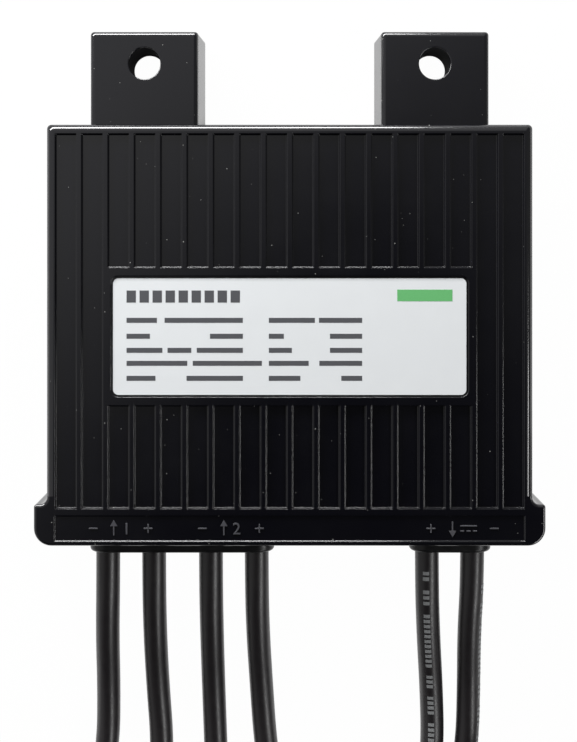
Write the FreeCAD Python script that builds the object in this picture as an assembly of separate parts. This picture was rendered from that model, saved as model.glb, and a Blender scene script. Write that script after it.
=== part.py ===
"""Solar power optimizer: a potted plastic box with two fixing lugs, six leads and their connectors.

The part lies on its flat back. X runs to the right and Y up towards the lugs, as the front face is
read, and Z points out of the front face. The origin is the middle of the back. Sizes are in mm.
"""

import FreeCAD, Part
import math
import os

V = FreeCAD.Vector
X_AXIS = V(1, 0, 0)
Y_AXIS = V(0, 1, 0)
Z_AXIS = V(0, 0, 1)

# Housing: a moulded tub that is open at the back
BODY_W = 132.8
BODY_H = 115.2
BODY_T = 25.0
BODY_DRAFT_DEG = 1.0
TOP_CORNER_R = 1.2
FRONT_EDGE_R = 0.8
FLANGE_PROUD = 3.6
FLANGE_H = 11.3
FLANGE_CORNER_R = 4.8
SHOULDER_R = 0.8
NECK_R = 2.0
RIM_T = 2.0
LEDGE_W = 1.8
FRONT_WALL_T = 2.8
CAVITY_CORNER_R = 2.0

# Fixing lugs on the top edge
LUG_W = 30.5
LUG_H = 28.0
LUG_T = 12.5
LUG_DRAFT_DEG = 5.0
LUG_INSET = 9.85
LUG_CORNER_R = 1.0
LUG_EDGE_R = 0.5
HOLE_D = 9.0
HOLE_ABOVE_BODY = 19.0
HOLE_EDGE_R = 0.3
LUG_SKIN_T = 3.0
LUG_WALL_T = 2.6
LUG_BOSS_D = 15.0
LUG_RIB_T = 2.0

# Sunk pockets of the front face
POCKET_PITCH = 7.2
POCKET_W = 5.85
POCKET_DEPTH = 1.0
POCKET_SIDE_SLOPE = 0.22
POCKET_SIDE_EDGE = 2.275
POCKET_TOP_EDGE = 2.5
POCKET_BOTTOM = 10.2

# Label plateau, label and terminal panel, heights counted from the lower edge of the front face
LABEL_CENTRE = 57.25
LABEL_W = 96.6
LABEL_H = 31.9
LABEL_T = 0.2
LABEL_R = 1.5
LABEL_GAP = 0.6
LABEL_RECESS_DEPTH = 0.5
PLATEAU_MARGIN = 2.3
PLATEAU_SIDE_MARGIN = 2.0
PANEL_INSET = 5.65
PANEL_LOW = 1.26
PANEL_HIGH = 8.35
PANEL_DEPTH = 0.4

# Back plate, its seal and its screws
PLATE_T = 2.0
PLATE_GAP = 0.15
GASKET_T = 0.8
SCREW_D = 3.0
SCREW_HEAD_D = 5.6
SCREW_HEAD_T = 1.7
SCREW_L = 10.0
SCREW_DRIVE_D = 1.9
SCREW_DRIVE_DEPTH = 1.0
PLATE_BOSS_D = 6.4
PLATE_BOSS_INSET_X = 7.2
PLATE_BOSS_INSET_Y = 8.0

# Leads and the rubber seals that they leave through
LEAD_D = 6.6
LEAD_PITCH = 13.0
LEAD_Z = 12.5
INPUT_INSET = 21.35
INPUT_PAIR_PITCH = 29.15
OUTPUT_INSET = 20.95
JACKET_INSIDE = 12.6
SEAL_H = 10.0
SEAL_MARGIN = 5.0
SEAL_PROUD = 3.4
SEAL_NECK_H = 8.4
SEAL_LIP_T = 1.5
SEAL_EDGE_R = 0.9

# Circuit board, on posts that stand on the inside of the front wall
BOARD_SIDE_GAP = 3.1
BOARD_TOP_GAP = 2.8
BOARD_PAST_JACKETS = 1.5
BOARD_T = 1.6
BOARD_BACK_Z = 6.5
BOARD_NOTCH_GAP = 0.5
BOARD_POST_D = 6.0
BOARD_POST_INSET_X = 4.0
BOARD_POST_INSET_TOP = 10.0
BOARD_POST_INSET_LOW = 5.0
BOARD_SCREW_D = 2.5
BOARD_SCREW_L = 9.0
BOARD_SCREW_HEAD_D = 4.6
BOARD_SCREW_HEAD_T = 1.7

# Power inductors: two ferrite halves round a flat-wound copper coil
CORE_L = 27.0
CORE_W = 19.0
CORE_H = 13.0
CORE_PLATE_T = 2.6
CORE_POST_D = 12.0
CORE_WINDOW_D = 22.6
COIL_TURNS = 5
COIL_TURN_GAP = 0.3
COIL_CLEARANCE = 0.3
COIL_TAB_W = 2.4
COIL_TAB_T = 1.2

# Other parts on the board
FILM_CAP = (18.0, 8.5, 12.4)
TRANSISTOR = (5.2, 6.2, 1.1)
TRANSISTOR_PITCH_X = 9.0
TRANSISTOR_PITCH_Y = 10.0
PAD_MARGIN = 2.0
CERAMIC_CAP = (3.2, 2.5, 2.4)
CERAMIC_CAP_PITCH = 4.4
CERAMIC_CAP_PER_ROW = 5
SHUNT = (6.4, 3.2, 0.7)
DRIVER_CHIP = (5.0, 4.0, 1.6)
CONTROL_CHIP = (10.0, 10.0, 1.4)
BYPASS_DIODE = (10.0, 9.0, 4.4)
SIGNAL_CORE = (13.0, 12.0, 10.5)
SUPPLY_CORE = (7.3, 7.3, 4.5)

# Places on the board from its middle, as shares of its half width and of its half height
INDUCTOR_SHARES = ((-0.73, 0.345), (-0.16, 0.345))
FILM_CAP_SHARES = ((-0.64, 0.775), (-0.24, 0.775), (-0.64, -0.513), (-0.24, -0.513))
TRANSISTOR_SHARES = ((-0.73, -0.164), (-0.16, -0.164))
CERAMIC_CAP_SHARES = ((-0.73, -0.302), (-0.16, -0.302))
SHUNT_SHARES = ((-0.73, -0.175), (-0.16, -0.175), (0.605, -0.672))
DRIVER_SHARES = ((-0.824, -0.005), (-0.622, -0.005), (-0.269, -0.005), (-0.067, -0.005))
CONTROL_SHARES = ((0.454, 0.344),)
BYPASS_SHARES = ((0.269, -0.376), (0.504, -0.376))
SIGNAL_SHARES = ((0.807, -0.291),)
SUPPLY_SHARES = ((0.739, 0.64),)

# Stripped lead ends and the terminals that hold them
CONDUCTOR_D = 3.0
CONDUCTOR_L = 11.0
TERMINAL_W = 6.0
TERMINAL_L = 7.0
TERMINAL_WALL = 1.2
TERMINAL_START = 2.5

# Lead connectors, measured along their axis from the cable end of the nut
NUT_D = 18.6
NUT_REAR_D = 12.0
NUT_L = 14.0
NUT_TAPER_L = 5.0
NUT_WALL_L = 4.5
NUT_GROOVES = 8
NUT_GROOVE_R = 1.5
TAIL_D = 14.4
COLLAR_D = 18.0
COLLAR_L = 3.0
SHELL_D = 15.6
SHELL_END = 30.0
SHELL_BORE_D = 9.0
CABLE_SEAL_L = 7.0
CUP_D = 18.0
CUP_BORE_D = 12.6
CUP_L = 20.0
CUP_DEPTH = 17.0
CUP_WINDOW_W = 5.6
CUP_WINDOW_L = 7.0
BARREL_D = 12.0
BARREL_L = 17.0
BARREL_BORE_D = 6.0
ARM_W = 5.0
ARM_T = 1.8
ARM_GAP = 1.6
ARM_L = 13.0
ARM_ROOT_L = 3.5
ARM_HOOK = 1.2
PIN_D = 4.0
SOCKET_D = 5.6
CONTACT_BODY_D = 5.2
CONTACT_COLLAR_D = SHELL_BORE_D
CONTACT_COLLAR_L = 3.0
LEAD_INTO_NUT = NUT_WALL_L + CABLE_SEAL_L
CONNECTOR_Y = -172.0

# Put-away coils of the two output leads, lying one round the other
COIL_CENTRE = (79.3, -172.0)
COIL_STEPS = 8
OUTER_COIL_R = 40.9
INNER_COIL_R = 34.3
OUTER_COIL_EIGHTHS = 23
INNER_COIL_EIGHTHS = 28
COIL_START_DEG = 180.0
TIE_W = 4.6
TIE_T = 1.0
TIE_ANGLES_DEG = (300.0, 110.0)
TIE_GAP = 0.25
TIE_HEAD = (5.0, 6.4, 5.0)

FLOOR_AXIS_Z = NUT_D / 2
DRAFT = math.tan(math.radians(BODY_DRAFT_DEG))
LUG_DRAFT = math.tan(math.radians(LUG_DRAFT_DEG))
TOP_Y = BODY_H / 2
LOW_Y = -BODY_H / 2
FLANGE_W = BODY_W + 2 * FLANGE_PROUD
PANEL_W = FLANGE_W - 2 * PANEL_INSET
LUG_SPACING = BODY_W - 2 * LUG_INSET - LUG_W
SHOULDER_Y = LOW_Y + FLANGE_H
REBATE_DEPTH = PLATE_T + GASKET_T
CEILING_Z = BODY_T - FRONT_WALL_T
CAVITY_INSET = RIM_T + LEDGE_W
PLATE_BOSS_X = BODY_W / 2 - PLATE_BOSS_INSET_X
PLATE_BOSS_Y = BODY_H / 2 - PLATE_BOSS_INSET_Y
JACKET_END_Y = LOW_Y + JACKET_INSIDE
BOARD_W = BODY_W - 2 * (CAVITY_INSET + BOARD_SIDE_GAP)
BOARD_HIGH = TOP_Y - CAVITY_INSET - BOARD_TOP_GAP
BOARD_LOW = JACKET_END_Y + BOARD_PAST_JACKETS
BOARD_FRONT_Z = BOARD_BACK_Z + BOARD_T
INPUT_1_X = INPUT_INSET - BODY_W / 2
INPUT_2_X = INPUT_1_X + INPUT_PAIR_PITCH
OUTPUT_X = BODY_W / 2 - OUTPUT_INSET
LEAD_X = {
    "input1_negative": INPUT_1_X - LEAD_PITCH / 2,
    "input1_positive": INPUT_1_X + LEAD_PITCH / 2,
    "input2_negative": INPUT_2_X - LEAD_PITCH / 2,
    "input2_positive": INPUT_2_X + LEAD_PITCH / 2,
    "output_positive": OUTPUT_X - LEAD_PITCH / 2,
    "output_negative": OUTPUT_X + LEAD_PITCH / 2,
}

# The free leads' routes, from inside the housing to the connector or the coil
ROUTES = {
    "input1_negative": [
        (LEAD_X["input1_negative"], JACKET_END_Y, LEAD_Z),
        (LEAD_X["input1_negative"], LOW_Y - 11.9, LEAD_Z),
        (-52.3, -86.5, 9.2),
        (-53.0, -103.5, 4.8),
        (-53.8, -120.5, 3.4),
        (-56.9, -136.5, 4.5),
        (-60.3, -150.5, 7.7),
        (-61.4, -164.5, FLOOR_AXIS_Z),
        (-61.4, CONNECTOR_Y - LEAD_INTO_NUT, FLOOR_AXIS_Z),
    ],
    "input1_positive": [
        (LEAD_X["input1_positive"], JACKET_END_Y, LEAD_Z),
        (LEAD_X["input1_positive"], LOW_Y - 11.4, LEAD_Z),
        (-38.6, -86.0, 9.5),
        (-38.3, -103.0, 5.0),
        (-37.6, -120.0, 3.4),
        (-38.3, -136.0, 4.3),
        (-40.1, -150.0, 7.5),
        (-40.8, -164.5, FLOOR_AXIS_Z),
        (-40.8, CONNECTOR_Y - LEAD_INTO_NUT, FLOOR_AXIS_Z),
    ],
    "input2_negative": [
        (LEAD_X["input2_negative"], JACKET_END_Y, LEAD_Z),
        (LEAD_X["input2_negative"], LOW_Y - 11.9, LEAD_Z),
        (-22.3, -86.5, 9.3),
        (-22.1, -103.5, 4.9),
        (-21.6, -120.5, 3.4),
        (-20.9, -136.5, 4.4),
        (-20.3, -150.5, 7.6),
        (-20.2, -164.5, FLOOR_AXIS_Z),
        (-20.2, CONNECTOR_Y - LEAD_INTO_NUT, FLOOR_AXIS_Z),
    ],
    "input2_positive": [
        (LEAD_X["input2_positive"], JACKET_END_Y, LEAD_Z),
        (LEAD_X["input2_positive"], LOW_Y - 11.4, LEAD_Z),
        (-9.1, -86.0, 9.4),
        (-8.2, -103.0, 4.9),
        (-6.6, -120.0, 3.4),
        (-3.6, -136.0, 4.4),
        (-0.5, -150.0, 7.6),
        (0.4, -164.5, FLOOR_AXIS_Z),
        (0.4, CONNECTOR_Y - LEAD_INTO_NUT, FLOOR_AXIS_Z),
    ],
    "output_positive": [
        (LEAD_X["output_positive"], JACKET_END_Y, LEAD_Z),
        (LEAD_X["output_positive"], LOW_Y - 11.9, LEAD_Z),
        (39.8, -86.5, 9.2),
        (41.0, -103.5, 4.8),
        (41.4, -120.5, 3.4),
        (40.1, -138.0, LEAD_D / 2),
        (38.4, -155.0, LEAD_D / 2),
        (38.4, -172.0, LEAD_D / 2),
    ],
    "output_negative": [
        (LEAD_X["output_negative"], JACKET_END_Y, LEAD_Z),
        (LEAD_X["output_negative"], LOW_Y - 11.4, LEAD_Z),
        (51.9, -86.0, 9.2),
        (52.0, -103.0, 4.7),
        (51.0, -120.0, 3.4),
        (48.3, -137.0, LEAD_D / 2),
        (45.0, -154.5, LEAD_D / 2),
        (45.0, -172.0, LEAD_D / 2),
    ],
}

# The output leads' free ends, from the end of the coil to the connector
TAIL_ROUTES = {
    "output_positive": [
        (50.379, -143.079, 23.2),
        (37.6, -155.858, 23.2),
        (25.6, -170.0, 21.4),
        (20.6, -187.0, 17.9),
        (23.6, -204.5, 13.5),
        (35.0, -218.0, 10.4),
        (50.0, -225.9, FLOOR_AXIS_Z),
        (60.0 + LEAD_INTO_NUT, -225.9, FLOOR_AXIS_Z),
    ],
    "output_negative": [
        (113.6, -172.0, 27.4),
        (113.6, -157.0, 27.4),
        (113.4, -142.0, 28.0),
        (113.0, -128.5, 22.4),
        (112.4, -115.0, 16.0),
        (111.7, -101.5, 11.2),
        (111.2, -88.0, FLOOR_AXIS_Z),
        (111.2, -81.0 + LEAD_INTO_NUT, FLOOR_AXIS_Z),
    ],
}

# Where each connector's nut begins, which way it points in plan, and its kind
CONNECTORS = {
    "input1_negative": ((-61.4, CONNECTOR_Y, FLOOR_AXIS_Z), -90.0, "cup"),
    "input1_positive": ((-40.8, CONNECTOR_Y, FLOOR_AXIS_Z), -90.0, "barrel"),
    "input2_negative": ((-20.2, CONNECTOR_Y, FLOOR_AXIS_Z), -90.0, "cup"),
    "input2_positive": ((0.4, CONNECTOR_Y, FLOOR_AXIS_Z), -90.0, "barrel"),
    "output_positive": ((60.0, -225.9, FLOOR_AXIS_Z), 0.0, "cup"),
    "output_negative": ((111.2, -81.0, FLOOR_AXIS_Z), 90.0, "barrel"),
}


def block(x0, x1, y0, y1, z0, z1):
    """A box between two values on each axis."""
    return Part.makeBox(x1 - x0, y1 - y0, z1 - z0, V(x0, y0, z0))


def centred_block(size, place, z0):
    """A box of the given size, centred on place in plan, with its lowest face at z0."""
    half_x = size[0] / 2
    half_y = size[1] / 2
    x, y = place
    return block(x - half_x, x + half_x, y - half_y, y + half_y, z0, z0 + size[2])


def rod(radius, length, start, axis):
    """A round bar from start along axis."""
    return Part.makeCylinder(radius, length, start, axis)


def group(shapes):
    """Separate solids that share one name."""
    return Part.makeCompound(shapes)


def rounded_outline(corners, z):
    """A closed wire at height z through corners (x, y, radius); a corner without radius stays sharp."""
    ends = []
    count = len(corners)
    for i, (x, y, radius) in enumerate(corners):
        here = V(x, y, z)
        before = V(corners[i - 1][0], corners[i - 1][1], z) - here
        after = V(corners[(i + 1) % count][0], corners[(i + 1) % count][1], z) - here
        before.normalize()
        after.normalize()
        half = before.getAngle(after) / 2
        middle = before + after
        middle.normalize()
        reach = radius / math.tan(half)
        centre = here + middle * (radius / math.sin(half))
        ends.append((here + before * reach, centre - middle * radius, here + after * reach))
    edges = []
    for i in range(count):
        edges.append(Part.LineSegment(ends[i - 1][2], ends[i][0]).toShape())
        if corners[i][2]:
            edges.append(Part.Arc(*ends[i]).toShape())
    return Part.Wire(edges)


def rounded_block(x0, x1, y0, y1, z0, z1, radius):
    """A box whose four upright edges are rounded."""
    corners = [(x0, y0, radius), (x1, y0, radius), (x1, y1, radius), (x0, y1, radius)]
    return Part.Face(rounded_outline(corners, z0)).extrude(V(0, 0, z1 - z0))


def tapered_block(x0, x1, y0, y1, z_open, depth, slope):
    """A shallow sunk block, wide at z_open and narrower by slope on each side at its floor."""
    wires = []
    for z, inset in ((z_open, 0.0), (z_open - depth, slope)):
        points = [
            V(x0 + inset, y0 + inset, z),
            V(x1 - inset, y0 + inset, z),
            V(x1 - inset, y1 - inset, z),
            V(x0 + inset, y1 - inset, z),
        ]
        wires.append(Part.makePolygon(points + points[:1]))
    return Part.makeLoft(wires, True, True)


def stadium(x0, x1, z_middle, height, y0, y1):
    """A bar along X with half-round ends, as thick in Y as from y0 to y1."""
    radius = height / 2
    ends = [V(x0 + radius, y0, z_middle), V(x1 - radius, y0, z_middle)]
    depth = V(0, y1 - y0, 0)
    corners = [ends[0] + V(0, 0, -radius), ends[1] + V(0, 0, -radius)]
    upper = [ends[1] + V(0, 0, radius), ends[0] + V(0, 0, radius)]
    outline = Part.Wire(
        [
            Part.LineSegment(corners[0], corners[1]).toShape(),
            Part.Arc(corners[1], ends[1] + V(radius, 0, 0), upper[0]).toShape(),
            Part.LineSegment(upper[0], upper[1]).toShape(),
            Part.Arc(upper[1], ends[0] + V(-radius, 0, 0), corners[0]).toShape(),
        ]
    )
    return Part.Face(outline).extrude(depth)


def turned(profile, axis_start, axis):
    """A solid of revolution from profile points, which lie on one side of the axis."""
    return Part.Face(Part.makePolygon(profile + profile[:1])).revolve(axis_start, axis, 360)


def body_corners(grow):
    """The front face's outline with its bottom flange, moved outward by grow."""
    flange_x = FLANGE_W / 2 + grow
    body_x = BODY_W / 2 + grow
    low = LOW_Y - grow
    top = TOP_Y + grow
    shoulder = SHOULDER_Y + grow
    return [
        (-flange_x, low, FLANGE_CORNER_R + grow),
        (flange_x, low, FLANGE_CORNER_R + grow),
        (flange_x, shoulder, SHOULDER_R + grow),
        (body_x, shoulder, NECK_R - grow),
        (body_x, top, TOP_CORNER_R + grow),
        (-body_x, top, TOP_CORNER_R + grow),
        (-body_x, shoulder, NECK_R - grow),
        (-flange_x, shoulder, SHOULDER_R + grow),
    ]


def body_and_lug_corners(grow, lug_grow):
    """The same outline with the two lugs standing on its top edge."""
    corners = body_corners(grow)
    top = TOP_Y + grow
    tip = TOP_Y + LUG_H
    lugs = []
    for centre in (LUG_SPACING / 2, -LUG_SPACING / 2):
        right = centre + LUG_W / 2 + lug_grow
        left = centre - LUG_W / 2 - lug_grow
        lugs += [
            (right, top, 0.0),
            (right, tip, LUG_CORNER_R),
            (left, tip, LUG_CORNER_R),
            (left, top, 0.0),
        ]
    return corners[:5] + lugs + corners[5:]


def lug_hole(centre):
    """The fixing hole's bore, which runs past both faces of the lug."""
    return rod(HOLE_D / 2, LUG_T + 2, V(centre, TOP_Y + HOLE_ABOVE_BODY, -1), Z_AXIS)


def lug_core(centre):
    """The space cored out behind a lug, round its boss and its two ribs."""
    depth = LUG_T - LUG_SKIN_T
    half = LUG_W / 2 - LUG_WALL_T
    hole_y = TOP_Y + HOLE_ABOVE_BODY
    core = rounded_block(
        centre - half,
        centre + half,
        TOP_Y + LUG_WALL_T,
        TOP_Y + LUG_H - LUG_WALL_T,
        -1,
        depth,
        LUG_CORNER_R,
    )
    boss = rod(LUG_BOSS_D / 2, depth + 1, V(centre, hole_y, -1), Z_AXIS)
    rib_x = block(centre - half, centre + half, hole_y - LUG_RIB_T / 2, hole_y + LUG_RIB_T / 2, -1, depth)
    rib_y = block(centre - LUG_RIB_T / 2, centre + LUG_RIB_T / 2, TOP_Y, hole_y, -1, depth)
    return core.cut([boss, rib_x, rib_y])


def housing_block():
    """The outside of the moulding: the drafted body and flange with the thinner lugs, edges rounded."""
    at_back = body_and_lug_corners(BODY_T * DRAFT, LUG_T * LUG_DRAFT)
    at_lug = body_and_lug_corners((BODY_T - LUG_T) * DRAFT, 0.0)
    lower = Part.makeLoft([rounded_outline(at_back, 0.0), rounded_outline(at_lug, LUG_T)], True, True)
    plain = body_corners((BODY_T - LUG_T) * DRAFT)
    front = body_corners(0.0)
    upper = Part.makeLoft([rounded_outline(plain, LUG_T), rounded_outline(front, BODY_T)], True, True)
    solid = lower.fuse(upper).removeSplitter()
    front_edges = [e for e in solid.Edges if min(v.Z for v in e.Vertexes) > BODY_T - 0.01]
    solid = solid.makeFillet(FRONT_EDGE_R, front_edges)
    lug_edges = []
    for edge in solid.Edges:
        level = all(abs(v.Z - LUG_T) < 0.01 for v in edge.Vertexes)
        if level and edge.CenterOfMass.y > TOP_Y + LUG_CORNER_R:
            lug_edges.append(edge)
    solid = solid.makeFillet(LUG_EDGE_R, lug_edges)
    for centre in (-LUG_SPACING / 2, LUG_SPACING / 2):
        solid = solid.cut(lug_hole(centre))
        rims = [
            e
            for e in solid.Edges
            if isinstance(e.Curve, Part.Circle)
            and abs(e.Curve.Radius - HOLE_D / 2) < 0.01
            and abs(e.Curve.Center.z - LUG_T) < 0.01
            and abs(e.Curve.Center.x - centre) < 0.01
        ]
        solid = solid.makeFillet(HOLE_EDGE_R, rims)
        solid = solid.cut(lug_core(centre))
    return solid


def front_pockets():
    """All sunk pockets of the front face, in one compound."""
    low = LOW_Y + POCKET_BOTTOM
    high = TOP_Y - POCKET_TOP_EDGE
    label_y = LOW_Y + LABEL_CENTRE
    half_plateau = LABEL_H / 2 + LABEL_GAP + PLATEAU_MARGIN
    beside_label = LABEL_W / 2 + LABEL_GAP + PLATEAU_SIDE_MARGIN + POCKET_W / 2
    steps = int((BODY_W - 2 * POCKET_SIDE_EDGE - POCKET_W) / POCKET_PITCH + 0.01)
    pockets = []
    for i in range(steps + 1):
        middle = (i - steps / 2) * POCKET_PITCH
        left = middle - POCKET_W / 2
        right = middle + POCKET_W / 2
        spans = [(low, label_y - half_plateau), (label_y + half_plateau, high)]
        if abs(middle) > beside_label:
            spans = [(low, high)]
        for y0, y1 in spans:
            pockets.append(tapered_block(left, right, y0, y1, BODY_T, POCKET_DEPTH, POCKET_SIDE_SLOPE))
    return group(pockets)


def between_leads(share):
    """A place in X between the input leads and the output leads, as a share of the way across."""
    left = LEAD_X["input2_positive"]
    return left + share * (LEAD_X["output_positive"] - left)


def plate_screw_places():
    """The eight screws round the back plate, as (x, y)."""
    places = [(x, y) for x in (-PLATE_BOSS_X, PLATE_BOSS_X) for y in (-PLATE_BOSS_Y, 0.0, PLATE_BOSS_Y)]
    return places + [(between_leads(0.5), -PLATE_BOSS_Y), (0.0, PLATE_BOSS_Y)]


def board_screw_places():
    """The four screws of the circuit board, as (x, y)."""
    side = BOARD_W / 2 - BOARD_POST_INSET_X
    high = BOARD_HIGH - BOARD_POST_INSET_TOP
    low = BOARD_LOW + BOARD_POST_INSET_LOW
    return [(-side, high), (side, high), (between_leads(0.25), low), (between_leads(0.75), low)]


def cavity():
    """The hollow of the tub between the plate's ledge and the front wall, round its bosses and posts."""
    half_w = BODY_W / 2 - CAVITY_INSET
    half_h = BODY_H / 2 - CAVITY_INSET
    hollow = rounded_block(-half_w, half_w, -half_h, half_h, REBATE_DEPTH, CEILING_Z, CAVITY_CORNER_R)
    solids = []
    for x, y in plate_screw_places():
        solids.append(rod(PLATE_BOSS_D / 2, CEILING_Z - REBATE_DEPTH, V(x, y, REBATE_DEPTH), Z_AXIS))
        web_x = [x - PLATE_BOSS_D / 2, x + PLATE_BOSS_D / 2]
        web_y = [y - PLATE_BOSS_D / 2, y + PLATE_BOSS_D / 2]
        if abs(x) == PLATE_BOSS_X:
            web_x = sorted((x, math.copysign(half_w, x)))
        if y:
            web_y = sorted((y, math.copysign(half_h, y)))
        solids.append(block(web_x[0], web_x[1], web_y[0], web_y[1], REBATE_DEPTH, CEILING_Z))
    for x, y in board_screw_places():
        solids.append(rod(BOARD_POST_D / 2, CEILING_Z - BOARD_FRONT_Z, V(x, y, BOARD_FRONT_Z), Z_AXIS))
    return hollow.cut(solids)


def seal_span(xs):
    """The two ends in X of a seal that holds leads at the places xs."""
    return min(xs) - SEAL_MARGIN, max(xs) + SEAL_MARGIN


def seal_slot(xs):
    """The slot through the bottom wall for a seal's neck."""
    x0, x1 = seal_span(xs)
    shrink = (SEAL_H - SEAL_NECK_H) / 2
    inner_y = LOW_Y + CAVITY_INSET
    return stadium(x0 + shrink, x1 - shrink, LEAD_Z, SEAL_NECK_H, LOW_Y - 2, inner_y)


def front_housing():
    """The one-piece moulding: tub, lugs, flange, pockets, label recess and terminal panel."""
    solid = housing_block()
    half_w = BODY_W / 2 - RIM_T
    half_h = BODY_H / 2 - RIM_T
    rebate = rounded_block(-half_w, half_w, -half_h, half_h, -1, REBATE_DEPTH, CAVITY_CORNER_R)
    recess_x = LABEL_W / 2 + LABEL_GAP
    recess_y = LABEL_H / 2 + LABEL_GAP
    label_y = LOW_Y + LABEL_CENTRE
    recess = rounded_block(
        -recess_x,
        recess_x,
        label_y - recess_y,
        label_y + recess_y,
        BODY_T - LABEL_RECESS_DEPTH,
        BODY_T + 1,
        LABEL_R + LABEL_GAP,
    )
    panel = tapered_block(
        -PANEL_W / 2,
        PANEL_W / 2,
        LOW_Y + PANEL_LOW,
        LOW_Y + PANEL_HIGH,
        BODY_T,
        PANEL_DEPTH,
        POCKET_SIDE_SLOPE,
    )
    slots = [seal_slot(input_lead_places()), seal_slot(output_lead_places())]
    pilots = [rod(SCREW_D / 2, SCREW_L, V(x, y, PLATE_T), Z_AXIS) for x, y in plate_screw_places()]
    for x, y in board_screw_places():
        pilots.append(rod(BOARD_SCREW_D / 2, BOARD_SCREW_L, V(x, y, BOARD_BACK_Z), Z_AXIS))
    for tool in [front_pockets(), cavity(), rebate, recess, panel] + slots + pilots:
        solid = solid.cut(tool)
    return solid


def rating_label():
    """The printed film label in its recess."""
    label_y = LOW_Y + LABEL_CENTRE
    base = BODY_T - LABEL_RECESS_DEPTH
    return rounded_block(
        -LABEL_W / 2,
        LABEL_W / 2,
        label_y - LABEL_H / 2,
        label_y + LABEL_H / 2,
        base,
        base + LABEL_T,
        LABEL_R,
    )


def countersunk_screw(place):
    """A flat-headed screw whose head is flush with the back, pointing to the front."""
    x, y = place
    head = Part.makeCone(SCREW_HEAD_D / 2, SCREW_D / 2, SCREW_HEAD_T, V(x, y, 0), Z_AXIS)
    shank = rod(SCREW_D / 2, PLATE_T + SCREW_L - SCREW_HEAD_T, V(x, y, SCREW_HEAD_T), Z_AXIS)
    drive = rod(SCREW_DRIVE_D / 2, SCREW_DRIVE_DEPTH + 1, V(x, y, -1), Z_AXIS)
    return head.fuse(shank).removeSplitter().cut(drive)


def back_plate():
    """The aluminium heat spreader that closes the back, countersunk for its screws."""
    half_w = BODY_W / 2 - RIM_T - PLATE_GAP
    half_h = BODY_H / 2 - RIM_T - PLATE_GAP
    plate = rounded_block(-half_w, half_w, -half_h, half_h, 0, PLATE_T, CAVITY_CORNER_R - PLATE_GAP)
    for x, y in plate_screw_places():
        hole = rod(SCREW_D / 2, PLATE_T, V(x, y, 0), Z_AXIS)
        sink = Part.makeCone(SCREW_HEAD_D / 2, SCREW_D / 2, SCREW_HEAD_T, V(x, y, 0), Z_AXIS)
        plate = plate.cut([hole, sink])
    return plate


def plate_gasket():
    """The flat seal between the plate and the tub's ledge, with eyes round the screws."""
    half_w = BODY_W / 2 - RIM_T - PLATE_GAP
    half_h = BODY_H / 2 - RIM_T - PLATE_GAP
    inner_w = BODY_W / 2 - CAVITY_INSET
    inner_h = BODY_H / 2 - CAVITY_INSET
    corner = CAVITY_CORNER_R - PLATE_GAP
    ring = rounded_block(-half_w, half_w, -half_h, half_h, PLATE_T, REBATE_DEPTH, corner)
    inside = rounded_block(-inner_w, inner_w, -inner_h, inner_h, PLATE_T, REBATE_DEPTH, CAVITY_CORNER_R)
    ring = ring.cut(inside)
    eyes = [rod(PLATE_BOSS_D / 2, GASKET_T, V(x, y, PLATE_T), Z_AXIS) for x, y in plate_screw_places()]
    holes = [rod(SCREW_D / 2, GASKET_T, V(x, y, PLATE_T), Z_AXIS) for x, y in plate_screw_places()]
    return ring.fuse(eyes).cut(holes).removeSplitter()


def input_lead_places():
    """The four input leads' places in X."""
    return [LEAD_X[name] for name in LEAD_X if name.startswith("input")]


def output_lead_places():
    """The two output leads' places in X."""
    return [LEAD_X[name] for name in LEAD_X if name.startswith("output")]


def lead_seal(xs):
    """A rubber seal strip: outer band, neck through the wall and inner lip, with a bore for each lead."""
    x0, x1 = seal_span(xs)
    shrink = (SEAL_H - SEAL_NECK_H) / 2
    outer_y = LOW_Y - (BODY_T - LEAD_Z) * DRAFT
    inner_y = LOW_Y + CAVITY_INSET
    band = stadium(x0, x1, LEAD_Z, SEAL_H, LOW_Y - SEAL_PROUD - BODY_T * DRAFT, LOW_Y - BODY_T * DRAFT)
    outer_face = min(band.Faces, key=lambda face: face.CenterOfMass.y)
    band = band.makeFillet(SEAL_EDGE_R, outer_face.Edges)
    neck = stadium(x0 + shrink, x1 - shrink, LEAD_Z, SEAL_NECK_H, outer_y - 1, inner_y)
    lip = stadium(x0, x1, LEAD_Z, SEAL_H, inner_y, inner_y + SEAL_LIP_T)
    length = inner_y + SEAL_LIP_T - LOW_Y + SEAL_PROUD + 4
    bores = [rod(LEAD_D / 2, length, V(x, LOW_Y - SEAL_PROUD - 2, LEAD_Z), Y_AXIS) for x in xs]
    return band.fuse([neck, lip]).removeSplitter().cut(bores)


def circuit_board():
    """The board, notched round the plate's bosses and drilled for its screws."""
    board = block(-BOARD_W / 2, BOARD_W / 2, BOARD_LOW, BOARD_HIGH, BOARD_BACK_Z, BOARD_FRONT_Z)
    notch_r = PLATE_BOSS_D / 2 + BOARD_NOTCH_GAP
    cuts = [rod(notch_r, BOARD_T, V(x, y, BOARD_BACK_Z), Z_AXIS) for x, y in plate_screw_places()]
    corner = BOARD_W / 2
    for x, y in plate_screw_places():
        if abs(x) == PLATE_BOSS_X:
            x0, x1 = sorted((x, math.copysign(corner, x)))
            cuts.append(block(x0, x1, y - notch_r, y + notch_r, BOARD_BACK_Z, BOARD_FRONT_Z))
        if y > 0:
            cuts.append(block(x - notch_r, x + notch_r, y, BOARD_HIGH, BOARD_BACK_Z, BOARD_FRONT_Z))
    cuts += [rod(BOARD_SCREW_D / 2, BOARD_T, V(x, y, BOARD_BACK_Z), Z_AXIS) for x, y in board_screw_places()]
    return board.cut(cuts)


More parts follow.
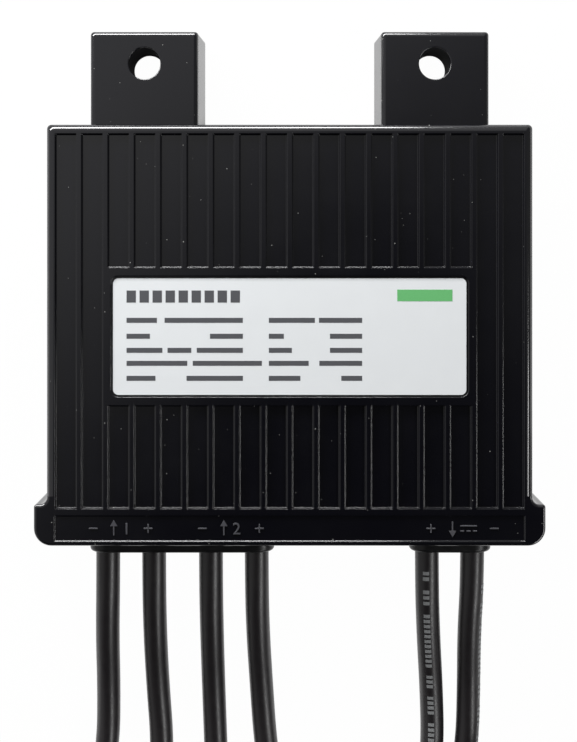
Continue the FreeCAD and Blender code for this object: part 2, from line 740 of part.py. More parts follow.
def board_screw(place):
    """A pan-headed screw that clamps the board to its post from behind."""
    x, y = place
    head = rod(BOARD_SCREW_HEAD_D / 2, BOARD_SCREW_HEAD_T, V(x, y, BOARD_BACK_Z - BOARD_SCREW_HEAD_T), Z_AXIS)
    shank = rod(BOARD_SCREW_D / 2, BOARD_SCREW_L, V(x, y, BOARD_BACK_Z), Z_AXIS)
    return head.fuse(shank).removeSplitter()


def core_half(place, upper):
    """One ferrite half: a plate with a round centre post and two side legs hollowed to the window."""
    z0 = BOARD_FRONT_Z
    half_h = CORE_H / 2
    low = z0 + half_h if upper else z0
    body = centred_block((CORE_L, CORE_W, half_h), place, low)
    window_low = low if upper else z0 + CORE_PLATE_T
    window = rod(CORE_WINDOW_D / 2, half_h - CORE_PLATE_T, V(place[0], place[1], window_low), Z_AXIS)
    post = rod(CORE_POST_D / 2, half_h - CORE_PLATE_T, V(place[0], place[1], window_low), Z_AXIS)
    return body.cut(window.cut(post))


def inductor_winding(place):
    """The flat-wound coil round the centre post, with two tabs down to the board."""
    inner = CORE_POST_D / 2 + COIL_CLEARANCE
    outer = CORE_WINDOW_D / 2 - COIL_CLEARANCE
    low = BOARD_FRONT_Z + CORE_PLATE_T + COIL_CLEARANCE
    high = BOARD_FRONT_Z + CORE_H - CORE_PLATE_T - COIL_CLEARANCE
    step = (high - low + COIL_TURN_GAP) / COIL_TURNS
    core_r = inner + (outer - inner) / 4
    x, y = place
    profile = [V(x + inner, y, low), V(x + outer, y, low)]
    for i in range(1, COIL_TURNS):
        gap_low = low + i * step - COIL_TURN_GAP
        gap_high = low + i * step
        profile += [
            V(x + outer, y, gap_low),
            V(x + core_r, y, gap_low),
            V(x + core_r, y, gap_high),
            V(x + outer, y, gap_high),
        ]
    profile += [V(x + outer, y, high), V(x + inner, y, high)]
    coil = turned(profile, V(x, y, 0), Z_AXIS)
    tab_y = y - CORE_W / 2 - COIL_CLEARANCE - COIL_TAB_T
    tabs = []
    for side in (-1, 1):
        tab_x = x + side * COIL_TAB_W
        x0 = tab_x - COIL_TAB_W / 2
        upright = block(x0, x0 + COIL_TAB_W, tab_y, tab_y + COIL_TAB_T, BOARD_FRONT_Z, low + COIL_TAB_T)
        arm = block(x0, x0 + COIL_TAB_W, tab_y, y - inner - 1, low, low + COIL_TAB_T)
        tabs += [upright, arm]
    return coil.fuse(tabs).removeSplitter()


def on_board(spots):
    """Places in X and Y from shares of the board's half width and half height."""
    half_w = BOARD_W / 2
    half_h = (BOARD_HIGH - BOARD_LOW) / 2
    middle = (BOARD_HIGH + BOARD_LOW) / 2
    return [(x * half_w, middle + y * half_h) for x, y in spots]


def board_blocks(size, places):
    """Like parts that stand on the front side of the board."""
    return [centred_block(size, place, BOARD_FRONT_Z) for place in places]


def film_capacitors():
    """The boxed film capacitors, with the rounded upright edges of a moulded case."""
    cases = []
    half_x = FILM_CAP[0] / 2
    half_y = FILM_CAP[1] / 2
    top = BOARD_FRONT_Z + FILM_CAP[2]
    for x, y in on_board(FILM_CAP_SHARES):
        case = rounded_block(x - half_x, x + half_x, y - half_y, y + half_y, BOARD_FRONT_Z, top, 1.0)
        cases.append(case)
    return cases


def ceramic_capacitors():
    """Two rows of ceramic capacitors beside the power transistors."""
    places = []
    for x, y in on_board(CERAMIC_CAP_SHARES):
        first = x - (CERAMIC_CAP_PER_ROW - 1) / 2 * CERAMIC_CAP_PITCH
        places += [(first + i * CERAMIC_CAP_PITCH, y) for i in range(CERAMIC_CAP_PER_ROW)]
    return board_blocks(CERAMIC_CAP, places)


def power_transistors():
    """Four power transistors for each converter, on the back side of the board."""
    bodies = []
    for x, y in on_board(TRANSISTOR_SHARES):
        for side_x in (-0.5, 0.5):
            for side_y in (-0.5, 0.5):
                place = (x + side_x * TRANSISTOR_PITCH_X, y + side_y * TRANSISTOR_PITCH_Y)
                bodies.append(centred_block(TRANSISTOR, place, BOARD_BACK_Z - TRANSISTOR[2]))
    return bodies


def thermal_pad(place):
    """The soft pad that carries one converter's heat to the back plate."""
    width = TRANSISTOR_PITCH_X + TRANSISTOR[0] + 2 * PAD_MARGIN
    length = TRANSISTOR_PITCH_Y + TRANSISTOR[1] + 2 * PAD_MARGIN
    height = BOARD_BACK_Z - TRANSISTOR[2] - PLATE_T
    return centred_block((width, length, height), place, PLATE_T)


def chip(size, place):
    """A moulded chip with a pin-one dimple."""
    body = centred_block(size, place, BOARD_FRONT_Z)
    corner_x = place[0] - size[0] / 2 + 1.0
    corner_y = place[1] - size[1] / 2 + 1.0
    return body.cut(rod(0.35, 0.3, V(corner_x, corner_y, BOARD_FRONT_Z + size[2] - 0.2), Z_AXIS))


def lead_terminal(x):
    """A folded solder terminal: a square sleeve on the board that holds the stripped end."""
    y0 = JACKET_END_Y + TERMINAL_START
    y1 = y0 + TERMINAL_L
    half = TERMINAL_W / 2
    top = LEAD_Z + CONDUCTOR_D / 2 + TERMINAL_WALL
    body = block(x - half, x + half, y0, y1, BOARD_FRONT_Z, top)
    slot = block(x - half + TERMINAL_WALL, x + half - TERMINAL_WALL, y0, y1, LEAD_Z - CONDUCTOR_D / 2, top)
    return body.cut(slot)


def conductor(x):
    """The stripped copper end of one lead, laid in its terminal."""
    return rod(CONDUCTOR_D / 2, CONDUCTOR_L, V(x, JACKET_END_Y, LEAD_Z), Y_AXIS)


def rounded_path(points):
    """Straight runs joined by tangent arcs; returns the wire, its length and its smallest radius."""
    nodes = [V(*p) for p in points]
    runs = [(b - a).Length for a, b in zip(nodes, nodes[1:])]
    edges = []
    radii = []
    start = nodes[0]
    for i in range(1, len(nodes) - 1):
        before = nodes[i - 1] - nodes[i]
        after = nodes[i + 1] - nodes[i]
        before.normalize()
        after.normalize()
        turn = math.pi - before.getAngle(after)
        cut_back = 0.45 * min(runs[i - 1], runs[i])
        radius = cut_back / math.tan(turn / 2)
        radii.append(radius)
        middle = before + after
        middle.normalize()
        centre = nodes[i] + middle * (radius / math.cos(turn / 2))
        enter = nodes[i] + before * cut_back
        leave = nodes[i] + after * cut_back
        edges.append(Part.LineSegment(start, enter).toShape())
        edges.append(Part.Arc(enter, centre - middle * radius, leave).toShape())
        start = leave
    edges.append(Part.LineSegment(start, nodes[-1]).toShape())
    return Part.Wire(edges), sum(e.Length for e in edges), min(radii)


def lead_tube(name, points):
    """One free stretch of lead as a tube of constant section."""
    path, length, radius = rounded_path(points)
    direction = V(*points[1]) - V(*points[0])
    circle = Part.Wire(Part.makeCircle(LEAD_D / 2, V(*points[0]), direction))
    tube = path.makePipeShell([circle], True, False)
    section = math.pi * LEAD_D**2 / 4
    ratio = tube.Volume / (section * length)
    print(f"{name}: length {length:.1f} mm, smallest radius {radius:.1f} mm, volume ratio {ratio:.4f}")
    return tube


def sector_ring(radius, first_deg, low, high):
    """One eighth of a coil's ring, as wide as one lead, with its four long edges rounded."""
    half = LEAD_D / 2
    cx, cy = COIL_CENTRE
    corner = half * 0.8
    corners = [
        (cx + radius - half, low, corner),
        (cx + radius + half, low, corner),
        (cx + radius + half, high, corner),
        (cx + radius - half, high, corner),
    ]
    section = rounded_outline(corners, 0)
    section.rotate(V(0, 0, 0), X_AXIS, 90)
    section.translate(V(0, cy, 0))
    face = Part.Face(section)
    face.rotate(V(cx, cy, 0), Z_AXIS, first_deg)
    return face.revolve(V(cx, cy, 0), Z_AXIS, 360 / COIL_STEPS)


def lead_coil(radius, eighths):
    """The outer shape of a put-away coil: turns that lie on each other and climb one lead a turn."""
    step_deg = 360 / COIL_STEPS
    rise = LEAD_D / COIL_STEPS
    sectors = []
    for k in range(COIL_STEPS):
        turns = (eighths - k + COIL_STEPS - 1) // COIL_STEPS
        low = (k + 1) * rise
        sectors.append(sector_ring(radius, COIL_START_DEG + k * step_deg, low, low + turns * LEAD_D))
    return sectors[0].fuse(sectors[1:]).removeSplitter()


def turns_done(angle_deg):
    """How much of a turn a coil has made at an angle, counted from where it starts."""
    return (angle_deg - COIL_START_DEG) % 360 / 360


def top_axis_z(eighths, angle_deg):
    """The height of a coil's highest lead axis at an angle, rounded up to its sector's step."""
    started = turns_done(angle_deg)
    return LEAD_D / 2 + (started + int(eighths / COIL_STEPS - started) + 1 / COIL_STEPS) * LEAD_D


def coil_tie(angle_deg):
    """A cable tie pulled round both coils, with its head on the outside."""
    half = LEAD_D / 2 + TIE_GAP
    low = LEAD_D / 2 + turns_done(angle_deg) * LEAD_D
    outer_high = top_axis_z(OUTER_COIL_EIGHTHS, angle_deg)
    inner_high = top_axis_z(INNER_COIL_EIGHTHS, angle_deg)
    centres = [
        (INNER_COIL_R, low),
        (OUTER_COIL_R, low),
        (OUTER_COIL_R, outer_high),
        (INNER_COIL_R, inner_high),
    ]
    core = Part.makePolygon([V(r, z, 0) for r, z in centres + centres[:1]])
    outside = Part.Face(core.makeOffset2D(half + TIE_T, 0))
    inside = Part.Face(core.makeOffset2D(half, 0))
    band = outside.cut(inside).extrude(V(0, 0, TIE_W))
    head_x = OUTER_COIL_R + half
    middle = (low + outer_high) / 2
    head_l, head_w, head_h = TIE_HEAD
    head = block(head_x, head_x + head_l, middle - head_h / 2, middle + head_h / 2, 0, head_w)
    head.translate(V(0, 0, (TIE_W - head_w) / 2))
    end = block(head_x + TIE_T, head_x + 2 * TIE_T, middle - head_h * 1.6, middle, 0, TIE_W)
    tie = band.fuse([head, end]).removeSplitter()
    tie.translate(V(0, 0, -TIE_W / 2))
    tie.rotate(V(0, 0, 0), X_AXIS, 90)
    tie.rotate(V(0, 0, 0), Z_AXIS, angle_deg)
    tie.translate(V(COIL_CENTRE[0], COIL_CENTRE[1], 0))
    return tie


def along(points):
    """Profile points (distance along the axis, radius) in the plane that is turned round X."""
    return [V(x, r, 0) for x, r in points]


def connector_nut():
    """The gland nut: a tapered rear with a cable bore, and a grooved grip round the shell's tail."""
    profile = along(
        [
            (0.0, LEAD_D / 2),
            (0.0, NUT_REAR_D / 2),
            (NUT_TAPER_L, NUT_D / 2),
            (NUT_L, NUT_D / 2),
            (NUT_L, TAIL_D / 2),
            (NUT_WALL_L, TAIL_D / 2),
            (NUT_WALL_L, LEAD_D / 2),
        ]
    )
    nut = turned(profile, V(0, 0, 0), X_AXIS)
    grooves = []
    for i in range(NUT_GROOVES):
        angle = math.radians((i + 0.5) * 360 / NUT_GROOVES)
        radius = NUT_D / 2 + NUT_GROOVE_R * 0.55
        start = V(NUT_TAPER_L - 1, radius * math.cos(angle), radius * math.sin(angle))
        grooves.append(rod(NUT_GROOVE_R, NUT_L, start, X_AXIS))
    return nut.cut(grooves)


def cable_seal():
    """The rubber sleeve that the nut squeezes on to the lead inside the shell's tail."""
    outer = rod(SHELL_BORE_D / 2, CABLE_SEAL_L, V(NUT_WALL_L, 0, 0), X_AXIS)
    return outer.cut(rod(LEAD_D / 2, CABLE_SEAL_L, V(NUT_WALL_L, 0, 0), X_AXIS))


def cup_shell():
    """The shell with a cup round its pin and two windows for the other connector's latches."""
    end = SHELL_END + CUP_L
    profile = along(
        [
            (NUT_WALL_L, SHELL_BORE_D / 2),
            (NUT_WALL_L, TAIL_D / 2),
            (NUT_L, TAIL_D / 2),
            (NUT_L, COLLAR_D / 2),
            (NUT_L + COLLAR_L, COLLAR_D / 2),
            (NUT_L + COLLAR_L + 1, SHELL_D / 2),
            (SHELL_END - 3, SHELL_D / 2),
            (SHELL_END, CUP_D / 2),
            (end - 1, CUP_D / 2),
            (end, CUP_D / 2 - 0.8),
            (end, CUP_BORE_D / 2),
            (end - CUP_DEPTH, CUP_BORE_D / 2),
            (end - CUP_DEPTH, SHELL_BORE_D / 2),
        ]
    )
    shell = turned(profile, V(0, 0, 0), X_AXIS)
    start = SHELL_END + (CUP_L - CUP_WINDOW_L) / 2
    half = CUP_WINDOW_W / 2
    windows = []
    for side in (-1, 1):
        y0, y1 = sorted((side * (CUP_BORE_D / 2 - 1), side * CUP_D))
        windows.append(block(start, start + CUP_WINDOW_L, y0, y1, -half, half))
    return shell.cut(windows)


def barrel_shell():
    """The shell with a slim barrel round its socket and two springy latch arms."""
    end = SHELL_END + BARREL_L
    profile = along(
        [
            (NUT_WALL_L, SHELL_BORE_D / 2),
            (NUT_WALL_L, TAIL_D / 2),
            (NUT_L, TAIL_D / 2),
            (NUT_L, COLLAR_D / 2),
            (NUT_L + COLLAR_L, COLLAR_D / 2),
            (NUT_L + COLLAR_L + 1, SHELL_D / 2),
            (SHELL_END, SHELL_D / 2),
            (SHELL_END, BARREL_D / 2),
            (end - 1, BARREL_D / 2),
            (end, BARREL_D / 2 - 0.8),
            (end, BARREL_BORE_D / 2),
            (SHELL_END - 6, BARREL_BORE_D / 2),
            (SHELL_END - 6, SHELL_BORE_D / 2),
        ]
    )
    shell = turned(profile, V(0, 0, 0), X_AXIS)
    arms = []
    for side in (-1, 1):
        inner = BARREL_D / 2 + ARM_GAP
        outer = inner + ARM_T
        tip = SHELL_END + ARM_L
        outline = [
            V(SHELL_END - ARM_ROOT_L, side * (SHELL_D / 2 - 1), -ARM_W / 2),
            V(SHELL_END - ARM_ROOT_L, side * outer, -ARM_W / 2),
            V(tip - 4, side * outer, -ARM_W / 2),
            V(tip - 4, side * (outer + ARM_HOOK), -ARM_W / 2),
            V(tip - 2.5, side * (outer + ARM_HOOK), -ARM_W / 2),
            V(tip, side * outer, -ARM_W / 2),
            V(tip, side * inner, -ARM_W / 2),
            V(SHELL_END, side * inner, -ARM_W / 2),
            V(SHELL_END, side * (SHELL_D / 2 - 1), -ARM_W / 2),
        ]
        arms.append(Part.Face(Part.makePolygon(outline + outline[:1])).extrude(V(0, 0, ARM_W)))
    return shell.fuse(arms).removeSplitter()


def contact_start():
    """Where a contact's crimp begins, at the end of the lead's jacket."""
    return LEAD_INTO_NUT


def contact_pin():
    """A crimped contact that ends in a pin inside the cup."""
    end = SHELL_END + CUP_L - 3
    base = SHELL_END + CUP_L - CUP_DEPTH
    profile = along(
        [
            (contact_start(), 0.0),
            (contact_start(), CONTACT_BODY_D / 2),
            (base - CONTACT_COLLAR_L, CONTACT_BODY_D / 2),
            (base - CONTACT_COLLAR_L, CONTACT_COLLAR_D / 2),
            (base, CONTACT_COLLAR_D / 2),
            (base, PIN_D / 2),
            (end - 1, PIN_D / 2),
            (end, PIN_D / 4),
            (end, 0.0),
        ]
    )
    return turned(profile, V(0, 0, 0), X_AXIS)


def contact_socket():
    """A crimped contact that ends in a sprung sleeve inside the barrel."""
    end = SHELL_END + BARREL_L - 2
    base = SHELL_END - 6
    profile = along(
        [
            (contact_start(), 0.0),
            (contact_start(), CONTACT_BODY_D / 2),
            (base - CONTACT_COLLAR_L, CONTACT_BODY_D / 2),
            (base - CONTACT_COLLAR_L, CONTACT_COLLAR_D / 2),
            (base, CONTACT_COLLAR_D / 2),
            (base, SOCKET_D / 2),
            (end, SOCKET_D / 2),
            (end, PIN_D / 2),
            (end - 12, PIN_D / 2),
            (end - 12, 0.0),
        ]
    )
    return turned(profile, V(0, 0, 0), X_AXIS)


def placed(shape, place):
    """A connector piece moved from its own axis to its place on a lead."""
    start, heading, _ = place
    moved = shape.copy()
    moved.rotate(V(0, 0, 0), Z_AXIS, heading)
    moved.translate(V(*start))
    return moved


def housing_parts():
    """Everything of the box itself, outside the potting."""
    return {
        "front_housing": front_housing(),
        "rating_label": rating_label(),
        "back_plate": back_plate(),
        "back_plate_gasket": plate_gasket(),
        "back_plate_screws": group([countersunk_screw(place) for place in plate_screw_places()]),
        "input_lead_seal": lead_seal(input_lead_places()),
        "output_lead_seal": lead_seal(output_lead_places()),
    }


def inner_parts():
    """The circuit board and all that it carries."""
    parts = {
        "circuit_board": circuit_board(),
        "board_screws": group([board_screw(place) for place in board_screw_places()]),
    }
    for number, place in enumerate(on_board(INDUCTOR_SHARES), 1):
        parts[f"inductor{number}_lower_core"] = core_half(place, False)
        parts[f"inductor{number}_upper_core"] = core_half(place, True)
        parts[f"inductor{number}_winding"] = inductor_winding(place)
    for number, place in enumerate(on_board(TRANSISTOR_SHARES), 1):
        parts[f"thermal_pad{number}"] = thermal_pad(place)
    parts["power_transistors"] = group(power_transistors())
    parts["film_capacitors"] = group(film_capacitors())
    parts["ceramic_capacitors"] = group(ceramic_capacitors())
    parts["current_shunts"] = group(board_blocks(SHUNT, on_board(SHUNT_SHARES)))
    parts["gate_driver_chips"] = group([chip(DRIVER_CHIP, place) for place in on_board(DRIVER_SHARES)])
    parts["control_chip"] = chip(CONTROL_CHIP, on_board(CONTROL_SHARES)[0])
    parts["bypass_diodes"] = group(board_blocks(BYPASS_DIODE, on_board(BYPASS_SHARES)))
    parts["signal_transformer"] = board_blocks(SIGNAL_CORE, on_board(SIGNAL_SHARES))[0]
    parts["supply_inductor"] = board_blocks(SUPPLY_CORE, on_board(SUPPLY_SHARES))[0]
    parts["lead_terminals"] = group([lead_terminal(x) for x in LEAD_X.values()])
    parts["lead_conductors"] = group([conductor(x) for x in LEAD_X.values()])
    return parts


def potting(hollow, inside):
    """The cured compound that fills the rest of the hollow, from the plate to the front wall."""
    eye_space = rounded_block(
        -(BODY_W / 2 - CAVITY_INSET),
        BODY_W / 2 - CAVITY_INSET,
        -(BODY_H / 2 - CAVITY_INSET),
        BODY_H / 2 - CAVITY_INSET,
        PLATE_T,
        REBATE_DEPTH,
        CAVITY_CORNER_R,
    )
    fill = hollow.fuse(eye_space).removeSplitter()
    return fill.cut(inside)


def lead_parts():
    """The six leads with their coils, tie and connectors."""
    parts = {}
    for name, route in ROUTES.items():
        tubes = [lead_tube(name, route)]
        if name in TAIL_ROUTES:
            tubes.append(lead_tube(name + " tail", TAIL_ROUTES[name]))
        parts[name + "_lead"] = group(tubes) if len(tubes) > 1 else tubes[0]
    parts["output_positive_coil"] = lead_coil(OUTER_COIL_R, OUTER_COIL_EIGHTHS)
    parts["output_negative_coil"] = lead_coil(INNER_COIL_R, INNER_COIL_EIGHTHS)
    parts["coil_ties"] = group([coil_tie(angle) for angle in TIE_ANGLES_DEG])
    shells = {"cup": cup_shell(), "barrel": barrel_shell()}
    contacts = {"cup": contact_pin(), "barrel": contact_socket()}
    nut = connector_nut()
    seals = []
    pins = []
    sockets = []
    for name, place in CONNECTORS.items():
        kind = place[2]
        parts[name + "_connector_shell"] = placed(shells[kind], place)
        parts[name + "_connector_nut"] = placed(nut, place)
        seals.append(placed(cable_seal(), place))
        (pins if kind == "cup" else sockets).append(placed(contacts[kind], place))
    parts["connector_cable_seals"] = group(seals)
    parts["connector_contact_pins"] = group(pins)
    parts["connector_contact_sockets"] = group(sockets)
    return parts


def main():
    """Builds every piece and writes one STEP file for each."""
    os.makedirs("parts", exist_ok=True)
    parts = housing_parts()
    inside = inner_parts()
    leads = lead_parts()
    solids = [solid for shape in inside.values() for solid in shape.Solids]
    for name in ("back_plate_gasket", "back_plate_screws", "input_lead_seal", "output_lead_seal"):
        solids += parts[name].Solids
    for name in ROUTES:
        solids.append(leads[name + "_lead"].Solids[0])
    parts["potting_compound"] = potting(cavity(), solids)
    parts.update(inside)
    parts.update(leads)
    for name, shape in parts.items():
        if not shape.isValid() or not shape.Solids:
            print("not valid:", name)
        shape.exportStep(f"parts/{name}.step")
    print(len(parts), "nodes")


main()
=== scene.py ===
import logging
import math
from dataclasses import dataclass, field
from enum import Enum

import bmesh
import bpy
from mathutils import Matrix, Vector


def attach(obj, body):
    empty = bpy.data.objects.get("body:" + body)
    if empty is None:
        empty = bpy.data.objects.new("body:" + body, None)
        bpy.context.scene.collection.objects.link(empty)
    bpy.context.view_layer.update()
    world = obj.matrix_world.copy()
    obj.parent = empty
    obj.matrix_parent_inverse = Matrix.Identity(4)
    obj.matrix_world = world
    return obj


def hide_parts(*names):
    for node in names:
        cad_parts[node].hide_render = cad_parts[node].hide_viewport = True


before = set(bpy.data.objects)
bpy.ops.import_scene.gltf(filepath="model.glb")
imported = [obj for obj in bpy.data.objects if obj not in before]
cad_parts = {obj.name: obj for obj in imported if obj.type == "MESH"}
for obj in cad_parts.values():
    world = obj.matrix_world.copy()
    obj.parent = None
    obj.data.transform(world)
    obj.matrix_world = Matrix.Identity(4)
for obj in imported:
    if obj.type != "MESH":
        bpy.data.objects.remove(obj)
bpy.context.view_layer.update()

ROOT = "root"
MM = 0.001
LOG = logging.getLogger("optimizer")

Tree = bpy.types.NodeTree
Socket = bpy.types.NodeSocket
Material = bpy.types.Material
Piece = bpy.types.Object
Span = tuple[float, float]
Point = tuple[float, float, float]
Route = list[Point]


class InkKind(Enum):
    """The inks printed on the label and on the leads."""

    BLACK = "black"
    GREEN = "green"
    PALE = "pale"


# Colour and node helpers


def linear(code: str) -> tuple[float, float, float, float]:
    """Turns an sRGB hex colour into the linear colour that Blender's sockets take.

    Args:
        code: The colour as "#rrggbb".

    Returns:
        Red, green, blue and an alpha of 1.
    """
    values = []
    for start in (1, 3, 5):
        share = int(code[start:start + 2], 16) / 255
        values.append(share / 12.92 if share <= 0.04045 else ((share + 0.055) / 1.055) ** 2.4)
    return values[0], values[1], values[2], 1.0


def add_node(tree: Tree, kind: str, settings: dict | None = None,
             inputs: dict | None = None) -> bpy.types.Node:
    """Adds one node to a tree, with its settings, values and links.

    Args:
        tree: The node tree that gets the node.
        kind: Blender's name for the node's type.
        settings: Attributes to set on the node.
        inputs: For each input, by name or number, a value or an output socket to link.

    Returns:
        The new node.
    """
    made = tree.nodes.new(kind)
    for name, value in (settings or {}).items():
        setattr(made, name, value)
    for name, value in (inputs or {}).items():
        socket = made.inputs[name]
        if isinstance(value, Socket):
            tree.links.new(value, socket)
        else:
            socket.default_value = value
    return made


def maths(tree: Tree, operation: str, *values: float | Socket) -> Socket:
    """Adds a Math node.

    Args:
        tree: The node tree that gets the node.
        operation: Blender's name for the operation.
        values: Its values, as numbers or output sockets, in order.

    Returns:
        The result's socket.
    """
    made = add_node(tree, "ShaderNodeMath", {"operation": operation}, dict(enumerate(values)))
    return made.outputs["Value"]


def ramp(tree: Tree, value: Socket, source: Span, target: Span = (0.0, 1.0),
         shape: str = "LINEAR") -> Socket:
    """Adds a Map Range node, whose result stays between the target's two ends.

    Args:
        tree: The node tree that gets the node.
        value: The value that is mapped.
        source: The two values at which the target's ends are reached.
        target: The results at those two values.
        shape: Blender's name for how the result runs between them.

    Returns:
        The result's socket.
    """
    made = add_node(tree, "ShaderNodeMapRange", {"interpolation_type": shape},
                    {"Value": value, "From Min": source[0], "From Max": source[1],
                     "To Min": target[0], "To Max": target[1]})
    return made.outputs["Result"]


def mix(tree: Tree, kind: str, share: Socket, first: tuple | Socket, second: tuple | Socket) -> Socket:
    """Adds a Mix node.

    Args:
        tree: The node tree that gets the node.
        kind: Blender's name for the type of what is mixed.
        share: The second one's share.
        first: The colour or vector where the share is 0.
        second: The colour or vector where the share is 1.

    Returns:
        The result's socket.
    """
    made = add_node(tree, "ShaderNodeMix", {"data_type": kind}, {"Factor": share, "A": first, "B": second})
    return made.outputs["Result"]


def noise(tree: Tree, place: Socket, pattern_mm: float, detail: float, roughness: float = 0.5) -> Socket:
    """Adds a noise texture.

    Args:
        tree: The node tree that gets the node.
        place: The coordinates that the pattern is laid in.
        pattern_mm: The size of its largest spots.
        detail: How many finer layers it has.
        roughness: How strong the finer layers are.

    Returns:
        The pattern's socket.
    """
    made = add_node(tree, "ShaderNodeTexNoise", None,
                    {"Vector": place, "Scale": 1 / (pattern_mm * MM), "Detail": detail,
                     "Roughness": roughness})
    return made.outputs["Fac"]


def soft_edges(tree: Tree, radius_mm: float, samples: int) -> Socket:
    """Adds a Bevel node.

    Args:
        tree: The node tree that gets the node.
        radius_mm: The rounding that edges show.
        samples: How many samples the node takes.

    Returns:
        The rounded normal's socket.
    """
    made = add_node(tree, "ShaderNodeBevel", {"samples": samples}, {"Radius": radius_mm * MM})
    return made.outputs["Normal"]


def add_relief(tree: Tree, shader: bpy.types.Node, height: Socket, depth_mm: float,
               normal: Socket | None) -> None:
    """Gives a shader its fine relief.

    Args:
        tree: The material's node tree.
        shader: The material's shader.
        height: The pattern that stands for height.
        depth_mm: The relief's depth.
        normal: The normal under the relief, or None for the mesh's own.
    """
    inputs = {"Strength": 0.6, "Distance": depth_mm * MM, "Height": height}
    if normal is not None:
        inputs["Normal"] = normal
    bump = add_node(tree, "ShaderNodeBump", None, inputs)
    tree.links.new(bump.outputs["Normal"], shader.inputs["Normal"])


def new_material(name: str) -> tuple[Material, Tree, bpy.types.Node, Socket]:
    """Starts a node material.

    Args:
        name: The finish's name.

    Returns:
        The material, its tree, its Principled shader and the Object coordinates socket.
    """
    made = bpy.data.materials.new(name)
    made.use_nodes = True
    tree = made.node_tree
    tree.nodes.clear()
    shader = add_node(tree, "ShaderNodeBsdfPrincipled")
    add_node(tree, "ShaderNodeOutputMaterial", None, {"Surface": shader.outputs["BSDF"]})
    place = add_node(tree, "ShaderNodeTexCoord").outputs["Object"]
    return made, tree, shader, place


# Finishes


# The span that a noise pattern mostly keeps to
NOISE_SPAN = (0.3, 0.7)
# Samples of the rounded normal, for clear glossy edges and for the rest
GLOSSY_EDGE_SAMPLES = 16
PLAIN_EDGE_SAMPLES = 4
# Gloss of moulded plastic drifts over patches of this size, and dust gathers in them
CLOUD_MM = 18.0
CLOUD_GLOSS = (-0.03, 0.05)
# Dust lies in cells this many times its own size; a speck fades out and is full at these shares of one
DUST_CELL = 6
DUST_EDGE = (0.07, 0.035)
DUST_BARE = 0.55
# Hairlines: for each heading, its turn in radians and the cells' size in millimetres
HAIRLINES = (
    (0.15, (3.2, 48.0, 12.0)),
    (-0.9, (4.5, 36.0, 12.0)),
    (1.2, (5.5, 60.0, 12.0)),
)
HAIRLINE_EDGE = (0.016, 0.008)
HAIRLINE_BARE = 0.6
# Dust and hairlines are pale and dull
WEAR_COLOUR = "#a0a09c"
WEAR_DULLNESS = 0.3
# The gloss of plain surfaces varies by this much both ways
GLOSS_DRIFT = 0.05


@dataclass(frozen=True)
class Rim:
    """The rounded rim of a face that looks up: a top edge and two sides. Sizes are in millimetres.

    With a centre away from 0 it stands for a pair, one on each side of the middle. It holds above
    low_y and low_z.
    """

    centre_x: float
    half_width: float
    top_y: float
    low_y: float
    low_z: float
    rounding: float

    def round_off(self, tree: Tree, place: Socket, normal: Socket) -> Socket:
        """Leans the normal outwards along the rim, as a quarter round does.

        Args:
            tree: The material's node tree.
            place: Object coordinates.
            normal: The normal everywhere else.

        Returns:
            The normal with the rim rounded.
        """
        axes = add_node(tree, "ShaderNodeSeparateXYZ", None, {"Vector": place}).outputs
        across = maths(tree, "SUBTRACT", maths(tree, "ABSOLUTE", axes["X"]), self.centre_x * MM)
        outwards = maths(tree, "MULTIPLY", maths(tree, "SIGN", across), maths(tree, "SIGN", axes["X"]))
        to_side = self._lean(tree, maths(tree, "ABSOLUTE", across), self.half_width)
        to_top = self._lean(tree, axes["Y"], self.top_y)
        squares = maths(tree, "MULTIPLY_ADD", to_side, to_side, maths(tree, "MULTIPLY", to_top, to_top))
        left_over = maths(tree, "MAXIMUM", maths(tree, "SUBTRACT", 1.0, squares), 0.0)
        leaning = add_node(tree, "ShaderNodeCombineXYZ", None,
                           {"X": maths(tree, "MULTIPLY", outwards, to_side), "Y": to_top,
                            "Z": maths(tree, "SQRT", left_over)})
        straight = add_node(tree, "ShaderNodeVectorMath", {"operation": "NORMALIZE"},
                            {0: leaning.outputs["Vector"]})
        above = maths(tree, "MULTIPLY", maths(tree, "GREATER_THAN", axes["Y"], self.low_y * MM),
                      maths(tree, "GREATER_THAN", axes["Z"], self.low_z * MM))
        on_rim = maths(tree, "MULTIPLY", above, maths(tree, "GREATER_THAN", squares, 0.0))
        return mix(tree, "VECTOR", on_rim, normal, straight.outputs["Vector"])

    def _lean(self, tree: Tree, value: Socket, edge: float) -> Socket:
        """Tells how far the rim leans one way: 0 where its rounding starts, 1 at its edge.

        Args:
            tree: The material's node tree.
            value: The place on the axis that the rim leans along, in metres.
            edge: The edge's place on that axis, in millimetres.

        Returns:
            The lean's socket.
        """
        return ramp(tree, value, ((edge - self.rounding) * MM, edge * MM))


